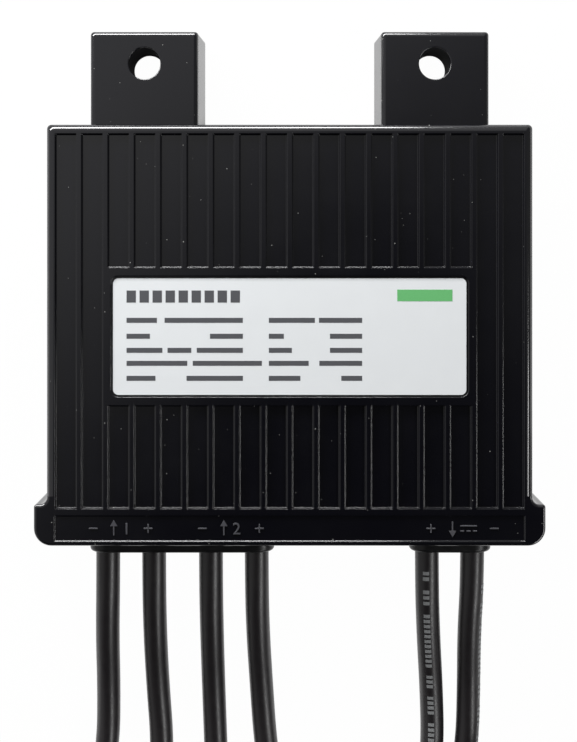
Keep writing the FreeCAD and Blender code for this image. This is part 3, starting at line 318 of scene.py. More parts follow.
@dataclass(frozen=True)
class MouldedPlastic:
    """Injection-moulded plastic with fine grain, settled dust and hairline handling marks."""

    name: str
    colour: str
    roughness: float
    grain_mm: float = 0.35
    grain_height_mm: float = 0.004
    edge_mm: float = 0.25
    dust: float = 0.0
    dust_mm: float = 0.40
    scratches: float = 0.0
    ior: float = 1.52
    rims: tuple[Rim, ...] = ()

    def material(self) -> Material:
        """Builds the material: base colour, gloss that varies a little, dust, scratches and grain.

        Returns:
            The finished material.
        """
        made, tree, shader, place = new_material(self.name)
        shader.inputs["IOR"].default_value = self.ior
        cloud = noise(tree, place, CLOUD_MM, detail=3.0, roughness=0.6)
        gloss = ramp(tree, cloud, NOISE_SPAN, tuple(self.roughness + drift for drift in CLOUD_GLOSS))
        colour_out, rough_out = self._wear(tree, place, gloss, cloud)
        tree.links.new(colour_out, shader.inputs["Base Color"])
        tree.links.new(rough_out, shader.inputs["Roughness"])
        normal = soft_edges(tree, self.edge_mm, GLOSSY_EDGE_SAMPLES)
        for rim in self.rims:
            normal = rim.round_off(tree, place, normal)
        grain = noise(tree, place, self.grain_mm, detail=2.0)
        add_relief(tree, shader, grain, self.grain_height_mm, normal)
        return made

    def _wear(self, tree: Tree, place: Socket, gloss: Socket, cloud: Socket) -> tuple[Socket, Socket]:
        """Lays dust specks and hairline scratches over the plastic.

        Args:
            tree: The material's node tree.
            place: Object coordinates.
            gloss: The roughness without wear.
            cloud: Large soft noise that gathers the dust in places.

        Returns:
            The colour socket and the roughness socket with wear.
        """
        dots = self._marks(tree, place, (self.dust_mm * DUST_CELL,) * 3, 0.0, DUST_EDGE, DUST_BARE)
        marked = maths(tree, "MULTIPLY", maths(tree, "MULTIPLY", dots, cloud), self.dust)
        for turn, spacing in HAIRLINES:
            hairs = self._marks(tree, place, spacing, turn, HAIRLINE_EDGE, HAIRLINE_BARE)
            marked = maths(tree, "MAXIMUM", marked, maths(tree, "MULTIPLY", hairs, self.scratches))
        tint = mix(tree, "RGBA", marked, linear(self.colour), linear(WEAR_COLOUR))
        return tint, maths(tree, "MULTIPLY_ADD", marked, WEAR_DULLNESS, gloss)

    @staticmethod
    def _marks(tree: Tree, place: Socket, spacing_mm: Point, turn: float, edge: Span,
               bare: float) -> Socket:
        """Draws one small mark in some cells of a stretched cell pattern: dots, or short hairlines.

        Args:
            tree: The material's node tree.
            place: Object coordinates.
            spacing_mm: The cells' size on each axis; a long cell makes a hairline.
            turn: The pattern's turn about Z, in radians.
            edge: Where a mark fades out and where it is full, as shares of a cell.
            bare: The share of cells that stay bare.

        Returns:
            How strongly a mark shows at each point.
        """
        laid = add_node(tree, "ShaderNodeMapping", {"vector_type": "TEXTURE"},
                        {"Vector": place, "Rotation": (0.0, 0.0, turn),
                         "Scale": [c * MM for c in spacing_mm]})
        cells = add_node(tree, "ShaderNodeTexVoronoi", {"feature": "F1"},
                         {"Vector": laid.outputs["Vector"], "Scale": 1.0, "Randomness": 1.0})
        lot = add_node(tree, "ShaderNodeSeparateColor", None, {"Color": cells.outputs["Color"]})
        mask = ramp(tree, cells.outputs["Distance"], edge)
        return maths(tree, "MULTIPLY", mask, ramp(tree, lot.outputs["Red"], (bare, 1.0)))


@dataclass(frozen=True)
class PlainSurface:
    """A finish of one colour whose shade, gloss and relief vary at the scale of how it was made."""

    name: str
    colour: str
    roughness: float
    metallic: float = 0.0
    pattern_mm: float = 1.0
    stretch: Point = (1.0, 1.0, 1.0)
    shade: float = 0.08
    relief_mm: float = 0.004
    edge_mm: float = 0.0
    ior: float = 1.5

    def material(self) -> Material:
        """Builds the material from stretched noise that drives colour, roughness and relief.

        Returns:
            The finished material.
        """
        made, tree, shader, place = new_material(self.name)
        shader.inputs["Metallic"].default_value = self.metallic
        if not self.metallic:
            shader.inputs["IOR"].default_value = self.ior
        laid = add_node(tree, "ShaderNodeMapping", None, {"Vector": place, "Scale": self.stretch})
        pattern = noise(tree, laid.outputs["Vector"], self.pattern_mm, detail=4.0, roughness=0.55)
        red, green, blue, _ = linear(self.colour)
        darker, lighter = (
            (red * share, green * share, blue * share, 1.0) for share in (1 - self.shade, 1 + self.shade)
        )
        tree.links.new(mix(tree, "RGBA", pattern, darker, lighter), shader.inputs["Base Color"])
        smooth, dull = self.roughness - GLOSS_DRIFT, self.roughness + GLOSS_DRIFT
        gloss = ramp(tree, pattern, NOISE_SPAN, (smooth, dull))
        tree.links.new(gloss, shader.inputs["Roughness"])
        normal = soft_edges(tree, self.edge_mm, PLAIN_EDGE_SAMPLES) if self.edge_mm else None
        add_relief(tree, shader, pattern, self.relief_mm, normal)
        return made


# Glossy moulded ABS: nearly black with a slight blue cast, dust and hairlines show as pale marks.
# The rims of the body and of the two lugs are rounded wider than the other edges.
HOUSING_ABS = MouldedPlastic("moulded_gloss_abs", "#06060c", 0.13, grain_mm=0.6, grain_height_mm=0.0004,
                             edge_mm=0.26, dust=2.6, scratches=0.8, ior=1.75,
                             rims=(Rim(centre_x=0.0, half_width=66.4, top_y=57.6, low_y=-44.0,
                                       low_z=20.0, rounding=1.9),
                                   Rim(centre_x=41.3, half_width=15.25, top_y=85.6, low_y=57.9,
                                       low_z=11.0, rounding=1.3)))
# The raised marks of the same moulding, more matt than it; their paler colour is painted sheen, as they
# look in the photo
MARK_ABS_PAINTED_SHEEN = MouldedPlastic("moulded_matt_abs_painted_sheen", "#46464b", 0.38, edge_mm=0.12)
# Glass-filled polyamide of connectors: a little rougher and greyer than the box
CONNECTOR_POLYAMIDE = MouldedPlastic("moulded_polyamide", "#151517", 0.42, grain_mm=0.3,
                                     grain_height_mm=0.006, edge_mm=0.3, dust=0.25, scratches=0.1)
# Cross-linked polyolefin cable jacket: extruded, so its gloss runs evenly along the lead
LEAD_JACKET = PlainSurface("extruded_polyolefin_jacket", "#211e20", 0.36, pattern_mm=1.6, shade=0.12,
                           relief_mm=0.002, ior=1.56)
# Polyester label film: off-white, satin, with the slight mottling of its adhesive under it
LABEL_FILM = PlainSurface("printed_polyester_film", "#e2e5e7", 0.48, pattern_mm=6.0, shade=0.012,
                          relief_mm=0.004, edge_mm=0.05, ior=1.58)
# Screen-printed inks: thin, matt, even
INKS = {
    InkKind.BLACK: PlainSurface("black_screen_ink", "#505155", 0.5, pattern_mm=0.4, relief_mm=0.001),
    InkKind.GREEN: PlainSurface("green_screen_ink", "#66b670", 0.5, pattern_mm=0.4, relief_mm=0.001),
    InkKind.PALE: PlainSurface("pale_cable_ink", "#8d8f90", 0.55, pattern_mm=0.4, shade=0.25,
                               relief_mm=0.001),
}
# Silicone seals: black, with a soft shine
SEAL_RUBBER = PlainSurface("moulded_silicone_rubber", "#0e0e10", 0.34, pattern_mm=1.2, shade=0.2,
                           relief_mm=0.006, edge_mm=0.3, ior=1.43)
# Rolled aluminium plate: grain runs along X
PLATE_ALUMINIUM = PlainSurface("rolled_aluminium", "#c3c5c8", 0.34, metallic=1.0, pattern_mm=0.9,
                               stretch=(0.05, 1.0, 1.0), shade=0.08, relief_mm=0.004)
# Zinc-plated steel screws: bright with a slight yellow cast
ZINC_STEEL = PlainSurface("zinc_plated_steel", "#bdbdb4", 0.28, metallic=1.0, pattern_mm=0.6,
                          relief_mm=0.003)
# Cast polyurethane potting: dark grey, slightly glossy, with shallow flow marks
POTTING_RESIN = PlainSurface("cast_polyurethane", "#2a2a2c", 0.35, pattern_mm=7.0, relief_mm=0.05)
# Glass-epoxy board under green solder mask
BOARD_LAMINATE = PlainSurface("solder_mask_laminate", "#1d5a34", 0.4, pattern_mm=2.0, shade=0.12,
                              relief_mm=0.01, ior=1.55)
# Sintered ferrite: dark grey and slightly coarse
FERRITE = PlainSurface("sintered_ferrite", "#3a3a3d", 0.5, pattern_mm=0.4, shade=0.2, relief_mm=0.02)
# Enamelled copper wire: clear varnish over warm metal
COPPER = PlainSurface("enamelled_copper", "#b8683c", 0.3, metallic=1.0, pattern_mm=0.8, relief_mm=0.01)
# Epoxy-filled film capacitor cases: moulded, slightly chalky
CAPACITOR_CASE = PlainSurface("filled_polyester_case", "#8f2a22", 0.45, pattern_mm=0.8, relief_mm=0.01)
# Multilayer ceramic: fired, tan
CERAMIC = PlainSurface("fired_ceramic", "#a08463", 0.5, pattern_mm=0.5, relief_mm=0.005)
# Epoxy moulding compound of chips
CHIP_EPOXY = PlainSurface("epoxy_moulding_compound", "#232325", 0.5, pattern_mm=0.3, relief_mm=0.006)
# Filled silicone heat pad: soft and matt
THERMAL_SILICONE = PlainSurface("filled_silicone_pad", "#7d88a0", 0.7, pattern_mm=0.8, relief_mm=0.02)
# Tin-plated copper alloy
TIN_PLATE = PlainSurface("tin_plated_copper", "#cfcfca", 0.3, metallic=1.0, pattern_mm=0.8,
                         relief_mm=0.003)
# Moulded nylon cable ties: semi-matt
TIE_NYLON = PlainSurface("moulded_nylon", "#1c1c1d", 0.45, pattern_mm=0.8, shade=0.15,
                         relief_mm=0.008, edge_mm=0.15, ior=1.53)


# Modelling helpers


class Bench:
    """The few hand operations that the new pieces are made with. Sizes are in millimetres."""

    @staticmethod
    def clear() -> None:
        """Deselects everything."""
        bpy.ops.object.select_all(action="DESELECT")

    @staticmethod
    def settle(piece: Piece) -> Piece:
        """Moves a piece's place, turn and scale into its mesh.

        Args:
            piece: The piece.

        Returns:
            The same piece.
        """
        Bench.clear()
        piece.select_set(True)
        bpy.context.view_layer.objects.active = piece
        bpy.ops.object.transform_apply(location=True, rotation=True, scale=True)
        return piece

    @staticmethod
    def bar(centre: Point, size: Point, bevel: float) -> Piece:
        """Adds a flat bar and bevels its upright edges and its top rim.

        Args:
            centre: The bar's middle.
            size: Its width, depth and height.
            bevel: Width of the bevel.

        Returns:
            The finished bar.
        """
        Bench.clear()
        bpy.ops.mesh.primitive_cube_add(size=1, location=[c * MM for c in centre])
        piece = bpy.context.object
        piece.scale = [s * MM for s in size]
        bpy.ops.object.transform_apply(location=False, rotation=False, scale=True)
        bpy.ops.object.mode_set(mode="EDIT")
        mesh = bmesh.from_edit_mesh(piece.data)
        for part in (*mesh.verts, *mesh.edges, *mesh.faces):
            part.select = False
        for edge in mesh.edges:
            if any(v.co.z > 0 for v in edge.verts):
                edge.select = True
        bmesh.update_edit_mesh(piece.data)
        bpy.ops.mesh.bevel(offset=bevel * MM, segments=2, affect="EDGES")
        bpy.ops.object.mode_set(mode="OBJECT")
        return Bench.settle(piece)

    @staticmethod
    def join(pieces: list[Piece], name: str) -> Piece:
        """Joins pieces into one mesh object.

        Args:
            pieces: The pieces; the first one stays.
            name: The joined piece's name.

        Returns:
            The joined piece.
        """
        Bench.clear()
        for piece in pieces:
            piece.select_set(True)
        bpy.context.view_layer.objects.active = pieces[0]
        if len(pieces) > 1:
            bpy.ops.object.join()
        joined = bpy.context.object
        joined.name = name
        joined.data.name = name
        return joined


def dress(node: str, material: Material) -> None:
    """Gives a CAD node its finish.

    Args:
        node: The node's name.
        material: Its material.
    """
    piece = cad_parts[node]
    if not piece.material_slots:
        piece.data.materials.append(material)
    for slot in piece.material_slots:
        slot.material = material
    LOG.info("dressed %s", node)


def ride(piece: Piece, material: Material) -> Piece:
    """Finishes a new piece: material and body.

    Args:
        piece: The new piece.
        material: Its material.

    Returns:
        The piece.
    """
    piece.data.materials.append(material)
    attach(piece, ROOT)
    LOG.info("made %s", piece.name)
    return piece


# The box


@dataclass
class PanelMarks:
    """Raised marks on the terminal panel: signs by the leads, arrows, plain numbers and a current sign.

    Sizes are in millimetres.
    """

    floor_z: float = 24.6
    proud: float = 0.25
    stroke: float = 0.36
    bevel: float = 0.07
    middle_y: float = -52.8
    sign_w: float = 2.4
    minus_x: tuple[float, ...] = (-53.7, -23.9, 55.9)
    plus_x: tuple[float, ...] = (-38.7, -8.3, 38.6)
    input_arrow_x: tuple[float, ...] = (-48.1, -18.0)
    number_x: tuple[float, ...] = (-44.6, -14.5)
    number_size: float = 4.56
    number_foot_y: float = -54.396
    output_arrow_x: float = 44.5
    arrow_head_r: float = 1.15
    arrow_head_shift: float = 1.2
    arrow_shaft_shift: float = 0.6
    arrow_shaft: float = 2.6
    current_x: float = 48.9
    current_half_gap: float = 0.7
    current_long: float = 4.6
    current_short: float = 1.1
    current_pitch: float = 1.75

    def build(self, material: Material) -> Piece:
        """Builds all marks as one piece.

        Args:
            material: The marks' material.

        Returns:
            The piece.
        """
        parts = []
        for x in self.minus_x:
            parts.append(self._stroke(x, self.middle_y, self.sign_w, self.stroke))
        for x in self.plus_x:
            parts.append(self._stroke(x, self.middle_y, self.sign_w, self.stroke))
            parts.append(self._stroke(x, self.middle_y, self.stroke, self.sign_w))
        for number, (arrow_x, x) in enumerate(zip(self.input_arrow_x, self.number_x), 1):
            parts += self._arrow(arrow_x, 1)
            parts.append(self._number(str(number), x))
        parts += self._arrow(self.output_arrow_x, -1)
        parts += self._current_sign()
        marks = Bench.join(parts, "panel_marks")
        return ride(marks, material)

    def _stroke(self, x: float, y: float, width: float, height: float) -> Piece:
        """Makes one raised straight stroke.

        Args:
            x: Its middle in X.
            y: Its middle in Y.
            width: Its size in X.
            height: Its size in Y.

        Returns:
            The stroke.
        """
        z = self.floor_z + self.proud / 2
        return Bench.bar((x, y, z), (width, height, self.proud), self.bevel)

    def _arrow(self, x: float, heading: int) -> list[Piece]:
        """Makes an arrow into the box or out of it: a shaft with a three-sided head.

        Args:
            x: Its middle in X.
            heading: 1 for up, into the box, and -1 for down, out of it.

        Returns:
            The shaft and the head.
        """
        shaft_y = self.middle_y - heading * self.arrow_shaft_shift
        shaft = self._stroke(x, shaft_y, self.stroke, self.arrow_shaft)
        head_y = self.middle_y + heading * self.arrow_head_shift
        Bench.clear()
        bpy.ops.mesh.primitive_cylinder_add(
            vertices=3,
            radius=self.arrow_head_r * MM,
            depth=self.proud * MM,
            location=(x * MM, head_y * MM, (self.floor_z + self.proud / 2) * MM),
        )
        head = bpy.context.object
        lowest = min(head.data.vertices, key=lambda v: v.co.y).co.y
        highest = max(head.data.vertices, key=lambda v: v.co.y).co.y
        points_up = highest > -lowest
        if points_up != (heading > 0):
            head.data.transform(Matrix.Rotation(math.pi, 4, "Z"))
        return [shaft, Bench.settle(head)]

    def _number(self, digit: str, x: float) -> Piece:
        """Makes a plain raised numeral.

        Args:
            digit: The numeral.
            x: Its middle in X.

        Returns:
            The numeral as a mesh.
        """
        Bench.clear()
        bpy.ops.object.text_add(location=(x * MM, self.number_foot_y * MM, self.floor_z * MM))
        text = bpy.context.object
        text.data.body = digit
        text.data.size = self.number_size * MM
        text.data.align_x = "CENTER"
        text.data.extrude = self.proud * MM
        bpy.ops.object.convert(target="MESH")
        return Bench.settle(bpy.context.object)

    def _current_sign(self) -> list[Piece]:
        """Makes the sign for direct current: a long stroke over three short ones.

        Returns:
            The four strokes.
        """
        upper_y = self.middle_y + self.current_half_gap
        lower_y = self.middle_y - self.current_half_gap
        strokes = [self._stroke(self.current_x, upper_y, self.current_long, self.stroke)]
        for offset in (-self.current_pitch, 0.0, self.current_pitch):
            strokes.append(self._stroke(self.current_x + offset, lower_y, self.current_short, self.stroke))
        return strokes


@dataclass
class Label:
    """The label's print as plain fields of ink: a heading, a green field and five rows.

    Sizes are in millimetres. The heading and the green field each give left, right, middle Y and
    height; a row gives its middle Y and the left and right of each bar.
    """

    top_z: float = 24.7
    ink_t: float = 0.03
    ink_bevel: float = 0.012
    heading: tuple[float, float, float, float] = (-44.6, -12.6, 10.6, 3.3)
    heading_blocks: int = 9
    heading_fill: float = 0.72
    green: tuple[float, float, float, float] = (29.4, 44.5, 10.9, 3.2)
    row_h: float = 1.35
    rows: list = field(default_factory=lambda: [
        (4.1, [(-44.6, -36.3), (-34.2, -12.8), (-5.7, 6.9), (8.0, 19.8)]),
        (-0.25, [(-44.6, -38.2), (-21.8, -12.8), (-5.7, -1.6), (11.0, 19.8)]),
        (-4.1, [(-44.6, -34.8), (-33.4, -26.9), (-25.4, -12.8), (-5.7, 0.6), (11.0, 19.8)]),
        (-7.65, [(-44.6, -28.0), (-26.5, -7.6), (-5.7, 5.2), (8.1, 19.8)]),
        (-11.75, [(-44.6, -36.7), (-28.2, -12.8), (-5.7, 2.9), (14.1, 19.8)]),
    ])

    def build(self, inks: dict[InkKind, Material], film: Material) -> None:
        """Dresses the label and prints its fields.

        Args:
            inks: The material of each ink.
            film: The label's own material.
        """
        dress("rating_label", film)
        blocks = []
        left, right, y, height = self.heading
        step = (right - left) / self.heading_blocks
        for i in range(self.heading_blocks):
            start = left + i * step
            blocks.append(self._field(start, start + step * self.heading_fill, y, height))
        for y, spans in self.rows:
            for x0, x1 in spans:
                blocks.append(self._field(x0, x1, y, self.row_h))
        ride(Bench.join(blocks, "label_print"), inks[InkKind.BLACK])
        green = self._field(*self.green)
        ride(Bench.join([green], "label_green_field"), inks[InkKind.GREEN])

    def _field(self, x0: float, x1: float, y: float, height: float) -> Piece:
        """Makes one printed field.

        Args:
            x0: Its left side.
            x1: Its right side.
            y: Its middle in Y.
            height: Its size in Y.

        Returns:
            The field.
        """
        size = (x1 - x0, height, self.ink_t)
        centre = ((x0 + x1) / 2, y, self.top_z + self.ink_t / 2)
        return Bench.bar(centre, size, self.ink_bevel)


# Leads


LEAD_D = 6.6
# The jacket's radius shows this much larger in the photo than the lead's own
JACKET_OVER = 0.1
EIGHTH_TURN_DEG = 45
COIL_CENTRE = (79.3, -172.0)
COIL_STEP_DEG = 22.5
COIL_START_DEG = 180.0
CONNECTOR_Y = -172.0
LEAD_INTO_NUT = 11.5
FLOOR_AXIS_Z = 9.3


def coil_points(radius: float, eighths: int) -> Route:
    """Points of a wound coil: a polygon round the coil's circle that climbs one lead a turn.

    Args:
        radius: The radius of the lead's axis.
        eighths: How many eighths of a turn the coil makes.

    Returns:
        The points, in millimetres.
    """
    reach = radius / math.cos(math.radians(COIL_STEP_DEG / 2))
    count = int(eighths * EIGHTH_TURN_DEG / COIL_STEP_DEG)
    points = []
    for i in range(count):
        swept = (i + 0.5) * COIL_STEP_DEG
        angle = math.radians(COIL_START_DEG + swept)
        x = COIL_CENTRE[0] + reach * math.cos(angle)
        y = COIL_CENTRE[1] + reach * math.sin(angle)
        points.append((x, y, LEAD_D / 2 + LEAD_D * swept / 360))
    return points


@dataclass
class Lead:
    """One lead: its route in millimetres and its real length in metres.

    A coil gives its radius and how many eighths of a turn it makes.
    """

    name: str
    route: Route
    length: float
    coil: tuple[float, int] | None = None
    tail: Route = field(default_factory=list)
    diameter: float = LEAD_D
    exit_y: float = -61.0

    def points(self) -> Route:
        """Puts the route together, with the coil's turns between the lead-in and the tail.

        Returns:
            All the points, in millimetres.
        """
        if not self.coil:
            return self.route
        return self.route + coil_points(*self.coil) + self.tail

    def build(self, jacket: Material) -> Piece:
        """Args:
            jacket: The jacket's material.

        Returns:
            The cord.
        """
        data = bpy.data.curves.new(self.name + "_cord", "CURVE")
        data.dimensions = "3D"
        points = self.points()
        spline = data.splines.new("NURBS")
        spline.points.add(len(points) - 1)
        for target, point in zip(spline.points, points):
            target.co = (*[c * MM for c in point], 1.0)
        spline.order_u = 3
        spline.use_endpoint_u = True
        spline.resolution_u = 8
        data.bevel_depth = (self.diameter / 2 + JACKET_OVER) * MM
        data.bevel_resolution = 7
        data.use_fill_caps = True
        cord = bpy.data.objects.new(self.name + "_cord", data)
        bpy.context.scene.collection.objects.link(cord)
        replaced = [self.name + "_lead"]
        if self.coil:
            replaced.append(self.name + "_coil")
        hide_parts(*replaced)
        ride(cord, jacket)
        return cord


LEADS = [
    Lead("input1_negative", [
        (-51.55, -45.0, 12.5),
        (-51.55, -69.5, 12.5),
        (-52.3, -86.5, 9.2),
        (-52.6, -103.5, 4.8),
        (-53.0, -120.5, 3.4),
        (-55.9, -136.5, 4.5),
        (-60.3, -150.5, 7.7),
        (-61.4, -164.5, FLOOR_AXIS_Z),
        (-61.4, CONNECTOR_Y - LEAD_INTO_NUT, FLOOR_AXIS_Z),
    ], 0.140),
    Lead("input1_positive", [
        (-38.55, -45.0, 12.5),
        (-38.55, -69.0, 12.5),
        (-38.6, -86.0, 9.5),
        (-38.3, -103.0, 5.0),
        (-37.2, -120.0, 3.4),
        (-37.8, -136.0, 4.3),
        (-40.1, -150.0, 7.5),
        (-40.8, -164.5, FLOOR_AXIS_Z),
        (-40.8, CONNECTOR_Y - LEAD_INTO_NUT, FLOOR_AXIS_Z),
    ], 0.140),
    Lead("input2_negative", [
        (-22.4, -45.0, 12.5),
        (-22.4, -69.5, 12.5),
        (-22.3, -86.5, 9.3),
        (-22.1, -103.5, 4.9),
        (-21.6, -120.5, 3.4),
        (-20.9, -136.5, 4.4),
        (-20.3, -150.5, 7.6),
        (-20.2, -164.5, FLOOR_AXIS_Z),
        (-20.2, CONNECTOR_Y - LEAD_INTO_NUT, FLOOR_AXIS_Z),
    ], 0.140),
    Lead("input2_positive", [
        (-9.4, -45.0, 12.5),
        (-9.4, -69.0, 12.5),
        (-9.1, -86.0, 9.4),
        (-8.2, -103.0, 4.9),
        (-7.1, -120.0, 3.4),
        (-4.5, -136.0, 4.4),
        (-0.5, -150.0, 7.6),
        (0.4, -164.5, FLOOR_AXIS_Z),
        (0.4, CONNECTOR_Y - LEAD_INTO_NUT, FLOOR_AXIS_Z),
    ], 0.140),
    Lead("output_positive", [
        (38.95, -45.0, 12.5),
        (38.95, -69.5, 12.5),
        (39.8, -86.5, 9.2),
        (41.2, -103.5, 4.8),
        (41.8, -120.5, 3.4),
        (40.1, -138.0, 3.3),
        (38.4, -155.0, 3.3),
    ], 0.99, coil=(40.9, 23), tail=[
        (37.6, -155.858, 23.2),
        (25.6, -170.0, 21.4),
        (20.6, -187.0, 17.9),
        (23.6, -204.5, 13.5),
        (35.0, -218.0, 10.4),
        (50.0, -225.9, FLOOR_AXIS_Z),
        (60.0 + LEAD_INTO_NUT, -225.9, FLOOR_AXIS_Z),
    ]),
    Lead("output_negative", [
        (51.95, -45.0, 12.5),
        (51.95, -69.0, 12.5),
        (51.5, -86.0, 9.2),
        (52.1, -103.0, 4.7),
        (51.9, -120.0, 3.4),
        (49.0, -137.0, 3.3),
        (45.0, -154.5, 3.3),
    ], 0.98, coil=(34.3, 28), tail=[
        (113.6, -157.0, 27.6),
        (113.4, -142.0, 28.4),
        (113.0, -128.5, 22.4),
        (112.4, -115.0, 16.0),
        (111.7, -101.5, 11.2),
        (111.2, -88.0, FLOOR_AXIS_Z),
        (111.2, -81.0 + LEAD_INTO_NUT, FLOOR_AXIS_Z),
    ]),
]


@dataclass
class LeadPrint:
    """Pale marks printed along a lead: small plain blocks in groups, bent to the jacket.

    Sizes are in millimetres; facing_deg turns the print about the lead from straight up.
    """

    lead: str
    start_mm: float
    end_mm: float
    facing_deg: float
    across: float = 1.8
    block: float = 1.0
    gap: float = 0.55
    group_gap: float = 2.2
    groups: tuple[int, ...] = (2, 3, 11, 3, 4, 8)
    lift: float = 0.02

    def build(self, cord: Piece, ink: Material) -> Piece:
        """Lays the blocks along the cord's own line.

        Args:
            cord: The lead's cord.
            ink: The print's material.

        Returns:
            The print as one piece.
        """
        line = self._line(cord)
        blocks = []
        at = self.start_mm
        group = 0
        while at < self.end_mm:
            for _ in range(self.groups[group % len(self.groups)]):
                if at + self.block < self.end_mm:
                    blocks.append(self._block(line, at))
                at += self.block + self.gap
            at += self.group_gap
            group += 1
        piece = Bench.join(blocks, self.lead + "_print")
        return ride(piece, ink)

    def _line(self, cord: Piece) -> list[tuple[float, Vector]]:
        """Reads the cord's centreline.

        Args:
            cord: The lead's cord.

        Returns:
            Its points, each after its distance from the cord's start, in millimetres.
        """
        bare = cord.data.copy()
        bare.bevel_depth = 0.0
        bare.use_fill_caps = False
        holder = bpy.data.objects.new("centreline", bare)
        bpy.context.scene.collection.objects.link(holder)
        bpy.context.view_layer.update()
        depsgraph = bpy.context.evaluated_depsgraph_get()
        mesh = bpy.data.meshes.new_from_object(holder.evaluated_get(depsgraph))
        points = [v.co / MM for v in mesh.vertices]
        bpy.data.objects.remove(holder)
        bpy.data.meshes.remove(mesh)
        line = [(0.0, points[0].copy())]
        for before, after in zip(points, points[1:]):
            line.append((line[-1][0] + (after - before).length, after.copy()))
        return line

    def _at(self, line: list[tuple[float, Vector]], distance: float) -> tuple[Vector, Vector]:
        """Finds a place on the centreline.

        Args:
            line: The centreline.
            distance: How far from its start the place is.

        Returns:
            The point and the line's direction there.
        """
        for (d0, p0), (d1, p1) in zip(line, line[1:]):
            if d0 <= distance <= d1 and d1 > d0:
                share = (distance - d0) / (d1 - d0)
                return p0.lerp(p1, share), (p1 - p0).normalized()
        return line[-1][1], (line[-1][1] - line[-2][1]).normalized()

    def _block(self, line: list[tuple[float, Vector]], distance: float) -> Piece:
        """Makes one printed block: a small grid laid round the jacket.

        Args:
            line: The cord's centreline.
            distance: Where along it the block starts.

        Returns:
            The block.
        """
        Bench.clear()
        bpy.ops.mesh.primitive_grid_add(x_subdivisions=4, y_subdivisions=1, size=1)
        piece = bpy.context.object
        radius = LEAD_D / 2 + JACKET_OVER + self.lift
        for vertex in piece.data.vertices:
            along = distance + (vertex.co.y + 0.5) * self.block
            point, heading = self._at(line, along)
            side = heading.cross(Vector((0, 0, 1))).normalized()
            up = side.cross(heading).normalized()
            angle = math.radians(self.facing_deg) + vertex.co.x * self.across / radius
            offset = (side * math.sin(angle) + up * math.cos(angle)) * radius
            vertex.co = (point + offset) * MM
        return piece


LEAD_PRINTS = [
    LeadPrint("output_positive", start_mm=22.0, end_mm=120.0, facing_deg=12.0),
    LeadPrint("output_negative", start_mm=26.0, end_mm=120.0, facing_deg=-58.0),
]


# Studio


WHITE = (1.0, 1.0, 1.0, 1.0)


@dataclass(frozen=True)
class SkyGlow:
    """A bright side of the sky: where it lies, how near to it the glow starts and is full, how strong."""

    side: Point
    nearness: Span
    strength: float


@dataclass(frozen=True)
class Softbox:
    """A lamp that faces the part: place, width along the horizon and height in metres, power in watts."""

    name: str
    place: Point
    size: Span
    power: float

    def build(self) -> None:
        """Adds the lamp."""
        data = bpy.data.lights.new(self.name, "AREA")
        data.shape = "RECTANGLE"
        data.size, data.size_y = self.size
        data.energy = self.power
        lamp = bpy.data.objects.new(self.name, data)
        lamp.location = self.place
        lamp.rotation_euler = (-Vector(self.place)).to_track_quat("-Z", "Y").to_euler()
        bpy.context.scene.collection.objects.link(lamp)


